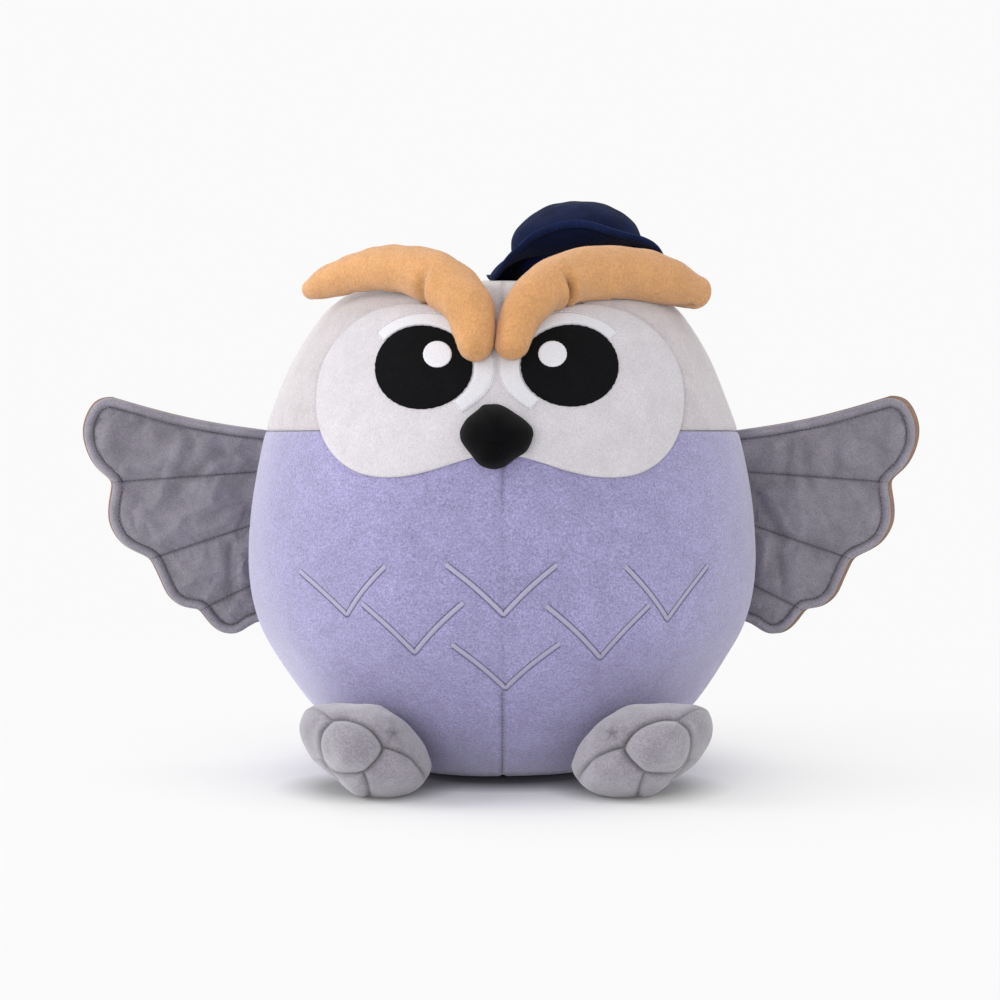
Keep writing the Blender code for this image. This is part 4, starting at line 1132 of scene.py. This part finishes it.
class OWL_OT_brows(bpy.types.Operator):
    """Stuffs the two orange brows, with their folds and pile"""
    bl_idname = "owl.brows"
    bl_label = "Brows"

    def execute(self, context):
        # Long soft plush: strands lie outwards along the brow, with painted light on the upper
        # side
        cloth = brushed_pile("orange long plush", shade(colours().orange, 0.92)[:3], grain=0.0011,
                             patch=0.008, contrast=0.16, brushing=0.06, sheen=0.4, relief=0.0009)
        strand = brushed_pile("orange plush strands", shade(colours().orange, 1.06)[:3],
                              grain=0.0013, patch=0.009, contrast=0.26, brushing=0.07, sheen=0.3,
                              relief=0.0001)
        for side, sign in SIDES:
            piece, flow = self.make_brow(side, sign, cloth)
            self.grow_pile(piece, flow, side, strand)
        return {"FINISHED"}

    def make_brow(self, side, sign, cloth):
        """A tapered stuffed roll that is folded at its bend and rests on the head."""
        columns, rows = 96, 190
        stations = np.array(BROWS[side]) / 1000
        dense = evenly(along(stations, np.linspace(0, 1, 600)), 260)
        line, radius = dense[:, :3], dense[:, 3] - 0.0006
        ratio = (sizes().body_depth / sizes().body_width) ** 2
        up = unit(np.stack([line[:, 0], line[:, 1] / ratio, line[:, 2] / 2], 1))
        piece, column, row = start_ball("brow_plush_" + side, columns, rows)
        points, share = tube_points(line, radius, up, columns, column, row, rows, flat=0.94,
                                    ends=(radius[0], 0.8 * radius[-1]))
        away = unit(points - read_at(share, np.linspace(0, 1, len(line)), line))
        bend = unit(line[30] + line[-60] - 2 * line[100])
        inner = smooth_step(0.5 + 0.9 * (away @ bend))
        front = smooth_step(0.55 + 0.8 * away @ np.array([0, -0.9, 0.3]))
        at, depth, wide = BROW_FOLDS[side]
        from_fold = (share - at) * BROW_LENGTH
        fold = np.exp(-(from_fold / wide) ** 2) * depth / 1000 * inner * front
        swell = np.exp(-((np.abs(from_fold) - 2.4 * wide) / (1.6 * wide)) ** 2) * 0.0012 * inner
        soft = ripple(points, 0.016, 21 + sign) * 0.0005
        sewn = self.sewn(points, away) * (sign > 0)
        points = points + away * (swell - fold + soft - 0.0011 * sewn)[:, None]
        put_points(piece, press_off(points, self.under(side), 0.0002))
        # Painted light on the upper side, painted shade in the fold and along the sewn line
        note_painted_light_and_tone(piece, 0.22 * smooth_step(0.5 + away[:, 2]) - 160 * fold - 0.55 * sewn)
        complete(piece, cloth, SKIN, "brow_cover_" + side,
                 ["brow_cover_" + side, "brow_stuffing_" + side])
        return piece, line

    def under(self, side):
        """The pieces that a brow lies on."""
        return "owl_head", "face_patch", "eye_felt_" + side, "eye_ribbon_" + side

    def sewn(self, points, away):
        """How near points on the front of the brow are to its sewn line, from 0 to 1."""
        pixels = PICTURE_WIDTH * CAMERA_LENS / CAMERA_SENSOR
        line = (np.array(BROW_SEAM) - PICTURE_WIDTH / 2) / pixels
        depth = points[:, 1] - CAMERA_PLACE[1]
        seen = np.stack([points[:, 0] / depth - CAMERA_SHIFT * CAMERA_SENSOR / CAMERA_LENS,
                         (CAMERA_PLACE[2] - points[:, 2]) / depth - CAMERA_DOWN], 1)
        near = to_line(seen, thinned(line, 100, 100), reach=0.01) * BROW_SEAM_AWAY
        return np.exp(-(near / 0.0009) ** 2) * smooth_step(-away[:, 1] * 4)

    def grow_pile(self, piece, line, side, strand):
        """Strands of pile all over a brow: one is modelled, and the rest are its copies."""
        deselect_all()
        bpy.ops.mesh.primitive_cone_add(vertices=3, radius1=0.00022, radius2=0.0, depth=1.0,
                                        end_fill_type="NGON")
        shape, faces = take_pattern()
        a, b, c = triangles_of(piece)
        cross = np.cross(b - a, c - a)
        area = np.linalg.norm(cross, axis=1)
        source = np.random.default_rng(5)
        count = BROW_STRANDS
        pick = source.choice(len(area), count, p=area / area.sum())
        r, s = source.random(count), source.random(count)
        over = r + s > 1
        r[over], s[over] = 1 - r[over], 1 - s[over]
        root = a[pick] + (b - a)[pick] * r[:, None] + (c - a)[pick] * s[:, None]
        normal = unit(cross[pick])
        index = np.argmin(((root[:, None] - line[None, ::10]) ** 2).sum(2), axis=1)
        run = unit(np.gradient(line, axis=0))[::10][index]
        run = run - normal * np.einsum("ij,ij->i", run, normal)[:, None]
        lean = unit(unit(run) * 0.9 + normal * 0.62 + source.normal(size=(count, 3)) * 0.24
                    + np.array([0, 0, -0.18]))
        reach = lean * (sizes().pile_length * source.uniform(0.55, 1.1, count))[:, None]
        side_way = unit(np.cross(lean, normal))
        block = spread(shape, root - normal * 0.0003, side_way, np.cross(lean, side_way), reach)
        # Strands that would run into the face lie hidden under the brow and are left out
        free = clear_of(root + reach, self.under(side), 0.0003)
        # The pile clumps: neighbouring strands share part of their tone
        tones = source.uniform(-0.75, 0.75, count) + 0.45 * ripple(root, 0.0026, 61)
        copies("brow_pile_" + side, block[free], faces, SKIN, "brow_cover_" + side, strand,
               tones=np.clip(tones[free], -1, 1))


def wing_edge(u, form):
    """Distance out and height of the wing's free edge, its corners softly rounded."""
    lanes = len(WING_OUTLINE_SHARES)
    marks = np.linspace(0, 1, 1601)
    lane = np.minimum((marks * lanes).astype(int), lanes - 1)
    edge = np.zeros((1601, 2))
    for index, points in enumerate(WING_OUTLINE_SHARES):
        here = lane == index
        edge[here] = along(points, marks[here] * lanes - index)
    low_x = form.side(np.array([WING_LOW]), SIDE_SEAM_BACK)[0]
    edge = edge * (WING_LENGTH, WING_HEIGHT) + (low_x, WING_LOW)
    roots = wing_root(np.array([0.0, 1.0]), form)
    back = np.linspace(0, 0.14, 121)[1:, None]
    before = (edge[0] + (roots[0] - edge[0]) * back)[::-1]
    after = edge[-1] + (roots[1] - edge[-1]) * back
    whole = np.vstack([before, edge, after])
    weights = np.exp(-0.5 * (np.arange(-90, 91) / WING_ROUNDING) ** 2)
    soft = [np.convolve(whole[:, k], weights / weights.sum(), "same")[120:-120] for k in (0, 1)]
    return np.stack([np.interp(u, marks, line) for line in soft], 1)


def wing_root(u, form):
    """Distance out and height of the wing's root on the side seam."""
    shares = np.interp(u, np.linspace(0, 1, len(WING_ROOT_SHARES)), WING_ROOT_SHARES)
    height = WING_LOW + shares * WING_HEIGHT
    return np.stack([form.side(height, SIDE_SEAM_BACK) - 0.0010, height], 1)


def wing_flat(u, v, form):
    """Distance out and height of points of the wing: u runs down it, v from root to edge."""
    root, edge = wing_root(u, form), wing_edge(u, form)
    flat = root + (edge - root) * v[:, None]
    lanes = len(WING_OUTLINE_SHARES)
    flat[:, 1] -= WING_TOP_SAG * np.sin(pi * v) * np.maximum(1 - u * lanes, 0.0)
    return flat


class OWL_OT_wings(bpy.types.Operator):
    """Quilts the two wings: front plush and back lining, with their stitching"""
    bl_idname = "owl.wings"
    bl_label = "Wings"

    def execute(self, context):
        form = BodyForm()
        # Quilted short plush: matt grey, faintly grained, with a painted highlight where it bends
        # over the edge
        front = brushed_pile("grey quilted plush", colours().wing_grey, grain=0.0008,
                             contrast=0.22, brushing=0.11, sheen=0.6)
        # Cotton twill behind, a muted brown
        back = brushed_pile("brown twill", colours().lining, grain=0.0006, contrast=0.2,
                            brushing=0.06, sheen=0.1, relief=0.0002)
        for side, sign in SIDES:
            for facing, cloth in ((-1, front), (1, back)):
                self.make_half(form, side, sign, facing, cloth)
        return {"FINISHED"}

    def border(self, form):
        """The wing's free outline: along the top, round the edge and along the bottom."""
        v = np.linspace(0, 1, 40)
        top = wing_flat(np.zeros(40), v, form)
        edge = wing_flat(np.linspace(0, 1, 241), np.ones(241), form)
        bottom = wing_flat(np.ones(40), v[::-1], form)
        return np.vstack([top, edge[1:], bottom[1:]])

    def channels(self, form):
        """The stitched lines from the root to the notches."""
        v = np.linspace(0.05, 1, 30)
        return [wing_flat(np.full(30, k / 4), v, form) for k in (1, 2, 3)]

    def make_half(self, form, side, sign, facing, cloth):
        """One face of a wing, swollen between its seams and flat where the faces meet."""
        front = facing < 0
        name = ("wing_quilt_" if front else "wing_lining_") + side
        piece, place, over = start_pad(name, 112, 56)
        u, v = place.T
        flat = wing_flat(u, v, form)
        outline = self.border(form)
        lanes = self.channels(form)
        edge = to_line(flat, outline)
        at_border = (u < 1e-6) | (u > 1 - 1e-6) | (v > 1 - 1e-6)
        edge[at_border] = 0.0
        channel = np.min([to_line(flat, line) for line in lanes], axis=0)
        roll = sizes().wing_roll
        inside = np.clip(edge - roll, 0, None)
        tube = np.sqrt(np.clip(1 - (2 * edge / roll - 1) ** 2, 0, 1)) * 0.0024
        tube = tube * (0.2 + 0.8 * smooth_step(v / 0.16))
        puff = sizes().wing_puff * (1 - np.exp(-inside / 0.0060)) * (1 - np.exp(-channel / 0.0055))
        puff = puff + 0.0006 * (1 - np.exp(-channel / 0.0016)) * (inside > 0)
        half = 0.0009 + np.where(edge < roll, tube, puff * (0.35 + 0.65 * smooth_step(v / 0.35)))
        folds = np.zeros(len(flat))
        for x0, z0, x1, z1, height, width in WING_FOLDS[side]:
            near = to_line(flat, np.array([(x0, z0), (x1, z1)]) / 1000, reach=0.02) * 1000
            folds += np.exp(-(near / width) ** 2) * height * smooth_step((inside - 0.001) / 0.004)
        half = np.maximum(half + folds * 0.0014 * front, 0.0006)
        half[at_border] = 0.0004
        y = SIDE_SEAM_BACK + facing * np.where(over, half, LAID_ON)
        across = WING_START + (flat[:, 0] - WING_START) * WING_REACH[side]
        points = np.stack([sign * across, y, flat[:, 1]], 1)
        if not front:
            points[:, 0] += sign * LINING_SHOWS[side] * v
            points[:, 2] += 0.5 * LINING_SHOWS[side] * v * (1 - u)
        put_points(piece, points)
        seam = np.minimum(np.abs(edge - roll), np.where(inside > 0, channel, 1.0))
        if front:
            held = np.where(over & (inside > 0), np.exp(-(seam / 0.0010) ** 2), 1.0)
            settle_cloth(piece, held, 6.0, 0.05, 0.0030)
            settled = points_of(piece)
            settled[over, 1] = np.minimum(settled[over, 1], SIDE_SEAM_BACK - 0.0003)
            put_points(piece, settled)
        # A painted highlight along the rolled edge, painted shade at the seams, and painted light
        # and shade over the folds
        ridge = np.exp(-((edge - 0.42 * roll) / (0.30 * roll)) ** 2)
        note_painted_light_and_tone(piece, 0.42 * ridge - 0.75 * np.exp(-(seam / 0.00075) ** 2) + folds * 0.16)
        nodes = ["wing_front_" + side, "wing_wadding_" + side] if front else ["wing_back_" + side]
        complete(piece, cloth, "wing_" + side, nodes[0], nodes)
        self.stitch(piece, side, sign, facing, outline, lanes)

    def stitch(self, piece, side, sign, facing, outline, lanes):
        """Topstitching along the edge and the channels."""
        surface = surface_of(piece)
        roll = sizes().wing_roll
        run = evenly(outline, 360)
        tangent = unit(np.gradient(run, axis=0))
        inward = np.stack([tangent[:, 1], -tangent[:, 0]], 1)
        if np.mean(np.einsum("ij,ij->i", inward, WING_MIDDLE - run)) < 0:
            inward = -inward
        inner = run + inward * roll
        keep = to_line(inner, run) > roll * 0.97
        kind = "quilt" if facing < 0 else "lining"
        for number, line in enumerate([inner[keep]] + [evenly(lane, 60) for lane in lanes]):
            found = []
            for x, z in line:
                across = WING_START + (x - WING_START) * WING_REACH[side]
                probe = Vector((sign * across, SIDE_SEAM_BACK + facing * 0.02, z))
                place, normal, _, _ = surface.ray_cast(probe, Vector((0, -facing, 0)))
                if place is not None:
                    found.append((place, normal))
            lay_stitches(f"wing_{kind}_thread_{number}_{side}", *found_cloth(found),
                         "wing_" + side, piece["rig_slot"], thread_material("dark"),
                         length=0.0018)


class OWL_OT_feet(bpy.types.Operator):
    """Stuffs the two feet, with their toes and seams"""
    bl_idname = "owl.feet"
    bl_label = "Feet"

    def execute(self, context):
        # The body's velour in cool grey
        cloth = brushed_pile("cool grey brushed velour", colours().foot_grey, contrast=0.24,
                             brushing=0.10, sheen=0.8)
        for side, sign in SIDES:
            self.make_foot(side, sign, cloth)
        return {"FINISHED"}

    def from_view(self, side, out, up, ahead):
        """Points seen at places of the front view, some way ahead of its plane."""
        far = FOOT_MIDDLE_BACK - CAMERA_PLACE[1]
        scale = 1 - ahead / far
        breadth, shift = FOOT_FITS[side]
        x = (out * breadth + FOOT_SPREAD + shift) * scale
        z = CAMERA_PLACE[2] + (up - FOOT_VIEW_RISE - CAMERA_PLACE[2]) * scale
        return np.stack([x, FOOT_MIDDLE_BACK - ahead, z], 1)

    def relief(self, flat, seams):
        """How far the cloth swells out between the seams, how deep it lies at them, and the
        painted shade at the seams, over the sunk outer toe and in the tack's dent.
        """
        near = np.min([to_line(flat, line) for line in seams], axis=0)
        swell = 0.0030 * (1 - np.exp(-near / 0.0045)) - 0.0014 * np.exp(-(near / 0.0012) ** 2)
        round_toe = within(flat, seams[1])
        dome = np.where(round_toe, 1 - (1 - np.clip(near / 0.0145, 0, 1)) ** 2, 0.0) * 0.0062
        outer = within(flat, np.array(OUTER_TOE) / 1000)
        sunk = np.where(outer, smooth_step(near / 0.0040), 0.0) * 0.0050
        from_tack = flat - np.array(FOOT_TACK) / 1000
        star = 1 + 0.35 * np.cos(5 * np.arctan2(*from_tack.T))
        dent = 0.0026 * np.exp(-np.linalg.norm(from_tack, axis=1) / (0.0024 * star))
        painted_seam_shade = -0.62 * np.exp(-(near / 0.0008) ** 2) - 0.22 * np.exp(-near / 0.0030)
        return swell, dome - sunk, dent, painted_seam_shade - 0.14 * outer - dent / 0.0024

    def make_foot(self, side, sign, cloth):
        """One stuffed form, drawn in along the seams between its instep and its toes."""
        columns, rows = 210, 150
        piece, column, row = start_ball("foot_plush_" + side, columns, rows)
        middle = np.array(FOOT_MIDDLE) / 1000
        turn = column / columns * 2 * pi - pi
        reach = reach_round(closed_line(np.array(FOOT_OUTLINE) / 1000, 900) - middle, turn)
        polar = pi * (1 - row / rows)
        face = np.cos(polar)
        reach = (reach - 0.0008) * np.sin(polar) ** np.where(face > 0, 0.80, 0.70)
        flat = middle + np.stack([np.cos(turn), np.sin(turn)], 1) * reach[:, None]
        ahead = np.where(face > 0, np.abs(face) ** 0.95 * FOOT_FRONT, -np.abs(face) * FOOT_REAR)
        seams = [thinned(np.array(line) / 1000) for line in FOOT_SEAMS]
        swell, lift, dent, painted_light_and_tone = self.relief(flat, seams)
        facing = smooth_step((face + 0.05) / 0.35)
        points = self.from_view(side, *flat.T, ahead + (lift + 0.5 * swell - dent) * facing)
        away = unit(points - (FOOT_SPREAD, FOOT_MIDDLE_BACK, 0.020))
        points += away * (0.6 * swell * facing + ripple(points, 0.015, 31) * 0.0004)[:, None]
        points[:, 0] *= sign
        points = press_off(points, ("owl_body",), 0.0004)
        points[:, 2] = np.maximum(points[:, 2], 0.0)
        put_points(piece, points)
        # Painted shade from the relief, and painted light over the top of the foot
        note_painted_light_and_tone(piece, painted_light_and_tone * facing + 0.25 * smooth_step((flat[:, 1] - 0.030) / 0.012))
        nodes = [f"foot_{part}_{side}" for part in ("upper", "sole", "stuffing")]
        complete(piece, cloth, "foot_" + side, nodes[0], nodes)
        self.sew(piece, side, sign, seams, nodes[0])

    def sew(self, piece, side, sign, seams, slot):
        """The thread that shows at the bottom of the seams."""
        surface = surface_of(piece)
        eye = Vector(CAMERA_PLACE)
        for number, line in enumerate(seams):
            found = []
            for x, y, z in self.from_view(side, *line.T, np.zeros(len(line))):
                ray = (Vector((sign * x, y, z)) - eye).normalized()
                place, normal, _, _ = surface.ray_cast(eye, ray)
                if place is not None and normal.dot(-ray) > 0.30:
                    found.append((place, normal))
            places, normals = found_cloth(found)
            lay_stitches(f"foot_thread_{number}_{side}", places - normals * 0.00010, normals,
                         "foot_" + side, slot, thread_material("dark"), size=0.00016)


class OWL_OT_hat(bpy.types.Operator):
    """Shapes the soft navy hat: its dome and its rim with a rolled hem"""
    bl_idname = "owl.hat"
    bl_label = "Hat"

    def execute(self, context):
        form = BodyForm()
        # Felted cotton: deep navy, lint-pale grain, almost no gloss
        cloth = brushed_pile("navy felted cotton", colours().navy, grain=0.0008, contrast=0.35,
                             brushing=0.2, sheen=0.05, relief=0.0004, rough=0.95, gloss=0.06)
        self.make_dome(form, cloth)
        self.make_rim(form, cloth)
        return {"FINISHED"}

    def settle(self, form, points):
        """Moves points from the hat's own frame to its place on the head."""
        c, s = np.cos(HAT_TILT), np.sin(HAT_TILT)
        x = points[..., 0] * c + points[..., 2] * s
        z = -points[..., 0] * s + points[..., 2] * c
        seat = form.crown(*HAT_PLACE)
        return np.stack([x + HAT_PLACE[0], points[..., 1] + HAT_PLACE[1], z + seat], -1)

    def make_dome(self, form, cloth):
        """The stuffed crown, closed below the cloth of the head."""
        columns, rows, cap = 160, 90, 6
        piece, column, row = start_ball("hat_dome", columns, rows)
        share = np.clip((rows - cap - row) / (rows - 2 * cap), 0, 1)
        outline = along(HAT_PROFILE_SHARES, share)
        closing = np.minimum(np.minimum(row, rows - row) / cap, 1)
        radius = outline[:, 0] * (sizes().hat_radius - 0.0004) * closing
        height = outline[:, 1] * (sizes().hat_height - 0.0006)
        turn = column / columns * 2 * pi
        # The dome has settled level, while the rim keeps its tilt
        level = radius * np.cos(turn) * HAT_TILT * share
        points = np.stack([radius * np.cos(turn), radius * np.sin(turn), height + level], 1)
        dents = ripple(points, 0.030, 44) * 0.0006 + ripple(points, 0.012, 45) * 0.0002
        points += unit(points + (0, 0, 1e-6)) * dents[:, None]
        points = self.settle(form, points)
        floor = form.crown(points[:, 0], points[:, 1]) + 0.0012
        points[:, 2] = np.maximum(points[:, 2], floor)
        put_points(piece, points)
        complete(piece, cloth, SKIN, "hat_crown", ["hat_crown", "hat_stuffing"])

    def rim_place(self, form, turn, v, offset):
        """Points of the rim, turned up in front and hanging at the sides and the back."""
        turns, rises = np.radians(RIM_RISES).T
        rise = np.mean([np.interp(turn + step, turns, rises, period=2 * pi)
                        for step in np.linspace(-0.09, 0.09, 9)], axis=0)
        turned = smooth_step(rise / radians(40))
        curl = rise * (RIM_CURL_SHARE + (1 - RIM_CURL_SHARE) * v)
        length = sizes().rim_length
        wave = 0.0007 * np.sin(turn * 9 + 1.3) * v * (1 - 0.5 * turned)
        out = sizes().hat_radius - 0.0010 + (length + 0.0013) * v * np.cos(curl)
        out = out - np.sin(curl) * offset
        lift = RIM_HEIGHT + length * v * np.sin(curl) + wave + np.cos(curl) * offset
        points = self.settle(form, np.stack([np.sin(turn) * out, -np.cos(turn) * out, lift], 1))
        floor = form.crown(points[:, 0], points[:, 1]) + 0.0020 + offset
        points[:, 2] = np.maximum(points[:, 2], floor)
        return points, turned

    def make_rim(self, form, cloth):
        """The rim from a ring: its two faces, and the hem rolled round its edge."""
        deselect_all()
        bpy.ops.mesh.primitive_torus_add(major_segments=260, minor_segments=48,
                                         major_radius=1.0, minor_radius=0.25)
        piece = named("hat_rim")
        x, y, z = points_of(piece).T
        turn = np.arctan2(x, -y)
        minor = np.arctan2(z, np.hypot(x, y) - 1.0)
        v = 1 - np.arccos(np.clip(np.cos(minor), -1, 1)) / pi
        hem = smooth_step((v - 0.83) / 0.05)
        stitched = np.exp(-((v - 0.82) / 0.02) ** 2)
        closing = np.sqrt(np.clip(1 - np.clip((v - 0.93) / 0.07, 0, 1) ** 2, 0, 1))
        closing *= np.sqrt(np.clip(v / 0.03, 0, 1))
        offset = np.sign(np.sin(minor)) * (0.0010 + 0.0006 * hem - 0.0004 * stitched) * closing
        points, turned = self.rim_place(form, turn, v, offset)
        put_points(piece, points)
        # A painted highlight on the rolled hem, painted shade under the turned-up front and in the
        # stitched line
        under = (offset < 0) * (1 - hem)
        note_painted_light_and_tone(piece, 0.4 * hem - 0.6 * under * turned - 0.9 * stitched)
        complete(piece, cloth, SKIN, "hat_brim", ["hat_brim"])


class OWL_OT_chest(bpy.types.Operator):
    """Works the six V shapes of satin stitch on the chest"""
    bl_idname = "owl.chest"
    bl_label = "Chest stitching"

    def execute(self, context):
        form = BodyForm()
        # Rayon embroidery thread: pale lilac grey, softly glossy
        thread = satin("chest embroidery thread", colours().chest_thread)
        edging = thread_material("violet")
        for number, points in enumerate(CHEVRONS, 1):
            self.make_chevron(form, number, points, thread, edging)
        return {"FINISHED"}

    def make_chevron(self, form, number, points, thread, edging):
        """One V: a band of satin stitch between two rows of edge stitches."""
        columns, rows = 12, 110
        line = evenly(chevron_line(points, 80), 120)
        tangent = unit(np.gradient(line, axis=0))
        away = np.stack([-tangent[:, 1], tangent[:, 0]], 1)
        piece, column, row = start_ball(f"chest_stitch_{number}", columns, rows)
        middle, up = form.on(*line.T, -CHEVRON_SUNK)
        width = sizes().chevron_width / 2
        placed, _ = tube_points(middle, np.full(len(line), width), up, columns, column, row, rows,
                                flat=0.45)
        put_points(piece, placed)
        slot = f"chest_chevron_{number}"
        complete(piece, thread, SKIN, slot, [slot])
        for edge, sign in (("upper", 1), ("lower", -1)):
            beside = line + away * sign * (width + CUT_EDGE)
            lay_stitches(f"chest_stitch_{edge}_{number}", *form.on(*beside.T, -CHEVRON_EDGE_SUNK),
                         SKIN, slot, edging, length=0.0024, size=0.0002)


class OWL_OT_stage(bpy.types.Operator):
    """Sets the pale floor, the soft lights and the camera"""
    bl_idname = "owl.stage"
    bl_label = "Stage"

    def execute(self, context):
        self.make_floor()
        self.light()
        self.aim_camera()
        return {"FINISHED"}

    def make_floor(self):
        """White paper: it takes the owl's shadow, and further off it is an even backdrop."""
        deselect_all()
        bpy.ops.mesh.primitive_plane_add(size=24, location=(0, 0, -0.0002))
        floor = named("floor")
        bpy.ops.object.transform_apply(location=True, rotation=True, scale=True)
        material = bpy.data.materials.new("white paper")
        material.use_nodes = True
        tree = material.node_tree
        shader = tree.nodes["Principled BSDF"]
        shader.inputs["Roughness"].default_value = 0.9
        shader.inputs["Specular IOR Level"].default_value = 0.0
        seen = self.seen_directly(tree)
        place = add_node(tree, "TexCoord").outputs["Object"]
        centred = add_node(tree, "Mapping", {"Vector": place, "Location": (0.0, 0.03, 0.0)})
        reach = add_node(tree, "VectorMath", {0: centred.outputs["Vector"]}, operation="LENGTH")
        part = add_node(tree, "Math", {0: reach.outputs["Value"], 1: 0.6}, operation="DIVIDE")
        far = ramp(tree, part.outputs[0], (0.15, (0, 0, 0, 1)), (0.90, (1, 1, 1, 1)))
        far.node.color_ramp.interpolation = "B_SPLINE"
        for spot, level in ((0.20, 0.45), (0.26, 0.68), (0.36, 0.84)):
            far.node.color_ramp.elements.new(spot).color = (level, level, level, 1.0)
        share = add_node(tree, "Math", {0: seen, 1: far}, operation="MULTIPLY")
        # The deep shade close under the body and the feet
        shade_product = seen
        for middle, low, high, level in POOLS:
            away = add_node(tree, "VectorMath", {0: place, 1: middle}, operation="DISTANCE")
            lit = add_node(tree, "MapRange", {"Value": away.outputs["Value"], "From Min": low,
                                              "From Max": high, "To Min": level})
            shade_product = add_node(tree, "Math", {0: shade_product, 1: lit.outputs["Result"]},
                                     operation="MULTIPLY").outputs[0]
        unseen = add_node(tree, "Math", {0: 1.0, 1: seen}, operation="SUBTRACT")
        level = add_node(tree, "Math", {0: shade_product, 1: unseen.outputs[0]}, operation="ADD")
        paper = add_node(tree, "RGB")
        paper.outputs[0].default_value = linear("#f4f4f4", 1.0)
        tree.links.new(multiply(tree, paper.outputs[0], level.outputs[0]),
                       shader.inputs["Base Color"])
        even = add_node(tree, "Emission", {"Color": linear("#fafafa", 1.0), "Strength": 1.0})
        mixed = add_node(tree, "MixShader", {0: share.outputs[0], 1: shader.outputs[0],
                                             2: even.outputs[0]})
        end = tree.nodes["Material Output"]
        tree.links.new(mixed.outputs[0], end.inputs["Surface"])
        floor.data.materials.append(material)

    def seen_directly(self, tree):
        """One for rays that show the backdrop: the camera's, and those in gloss and glass."""
        path = add_node(tree, "LightPath")
        seen = path.outputs["Is Camera Ray"]
        for kind in ("Glossy", "Transmission"):
            seen = add_node(tree, "Math", {0: seen, 1: path.outputs[f"Is {kind} Ray"]},
                            operation="MAXIMUM").outputs[0]
        return seen

    def light(self):
        """A pale even world, which is seen a little brighter than it shines, and four lamps."""
        world = bpy.context.scene.world or bpy.data.worlds.new("studio")
        bpy.context.scene.world = world
        world.use_nodes = True
        tree = world.node_tree
        tree.nodes.clear()
        seen = self.seen_directly(tree)
        around = add_node(tree, "Background", {"Color": (1.0, 1.0, 1.0, 1.0), "Strength": 0.73})
        shown = add_node(tree, "Background", {"Color": linear("#fafafa", 1.0), "Strength": 1.0})
        mixed = add_node(tree, "MixShader", {0: seen, 1: around.outputs[0],
                                             2: shown.outputs[0]})
        end = add_node(tree, "OutputWorld")
        tree.links.new(mixed.outputs[0], end.inputs["Surface"])
        for name, (place, power) in LAMPS.items():
            deselect_all()
            bpy.ops.object.light_add(type="AREA", location=place)
            lamp = bpy.context.object
            lamp.name = name
            lamp.data.shape = "DISK"
            lamp.data.size = LAMP_SIZE
            lamp.data.energy = power
            aim = Vector(LAMPS_AIM) - Vector(place)
            lamp.rotation_euler = aim.to_track_quat("-Z", "Y").to_euler()

    def aim_camera(self):
        """The camera of the photograph."""
        deselect_all()
        bpy.ops.object.camera_add(location=CAMERA_PLACE, rotation=(pi / 2 - CAMERA_DOWN, 0, 0))
        camera = bpy.context.object
        camera.data.lens = CAMERA_LENS
        camera.data.sensor_width = CAMERA_SENSOR
        camera.data.shift_x = CAMERA_SHIFT
        camera.data.clip_end = 60
        bpy.context.scene.camera = camera
        bpy.context.scene.view_settings.view_transform = "Standard"


PIECES = (OWL_OT_body, OWL_OT_head, OWL_OT_face, OWL_OT_beak, OWL_OT_brows, OWL_OT_wings,
          OWL_OT_feet, OWL_OT_hat, OWL_OT_chest, OWL_OT_stage)


class OWL_PT_panel(bpy.types.Panel):
    """The owl's sizes, colours and pieces"""
    bl_idname = "OWL_PT_panel"
    bl_label = "Plush Owl"
    bl_space_type = "VIEW_3D"
    bl_region_type = "UI"
    bl_category = "Plush Owl"

    def draw(self, context):
        for group in (context.scene.owl_sizes, context.scene.owl_colours):
            box = self.layout.box()
            for name in group.__annotations__:
                box.prop(group, name)
        for piece in PIECES:
            self.layout.operator(piece.bl_idname)


CLASSES = (OwlSizes, OwlColours, *PIECES, OWL_PT_panel)


def register():
    for item in CLASSES:
        bpy.utils.register_class(item)
    bpy.types.Scene.owl_sizes = PointerProperty(type=OwlSizes)
    bpy.types.Scene.owl_colours = PointerProperty(type=OwlColours)


def unregister():
    del bpy.types.Scene.owl_colours
    del bpy.types.Scene.owl_sizes
    for item in reversed(CLASSES):
        bpy.utils.unregister_class(item)


def main():
    """Makes the whole owl."""
    register()
    for piece in PIECES:
        getattr(bpy.ops.owl, piece.bl_idname.removeprefix("owl."))()


if __name__ == "__main__":
    main()
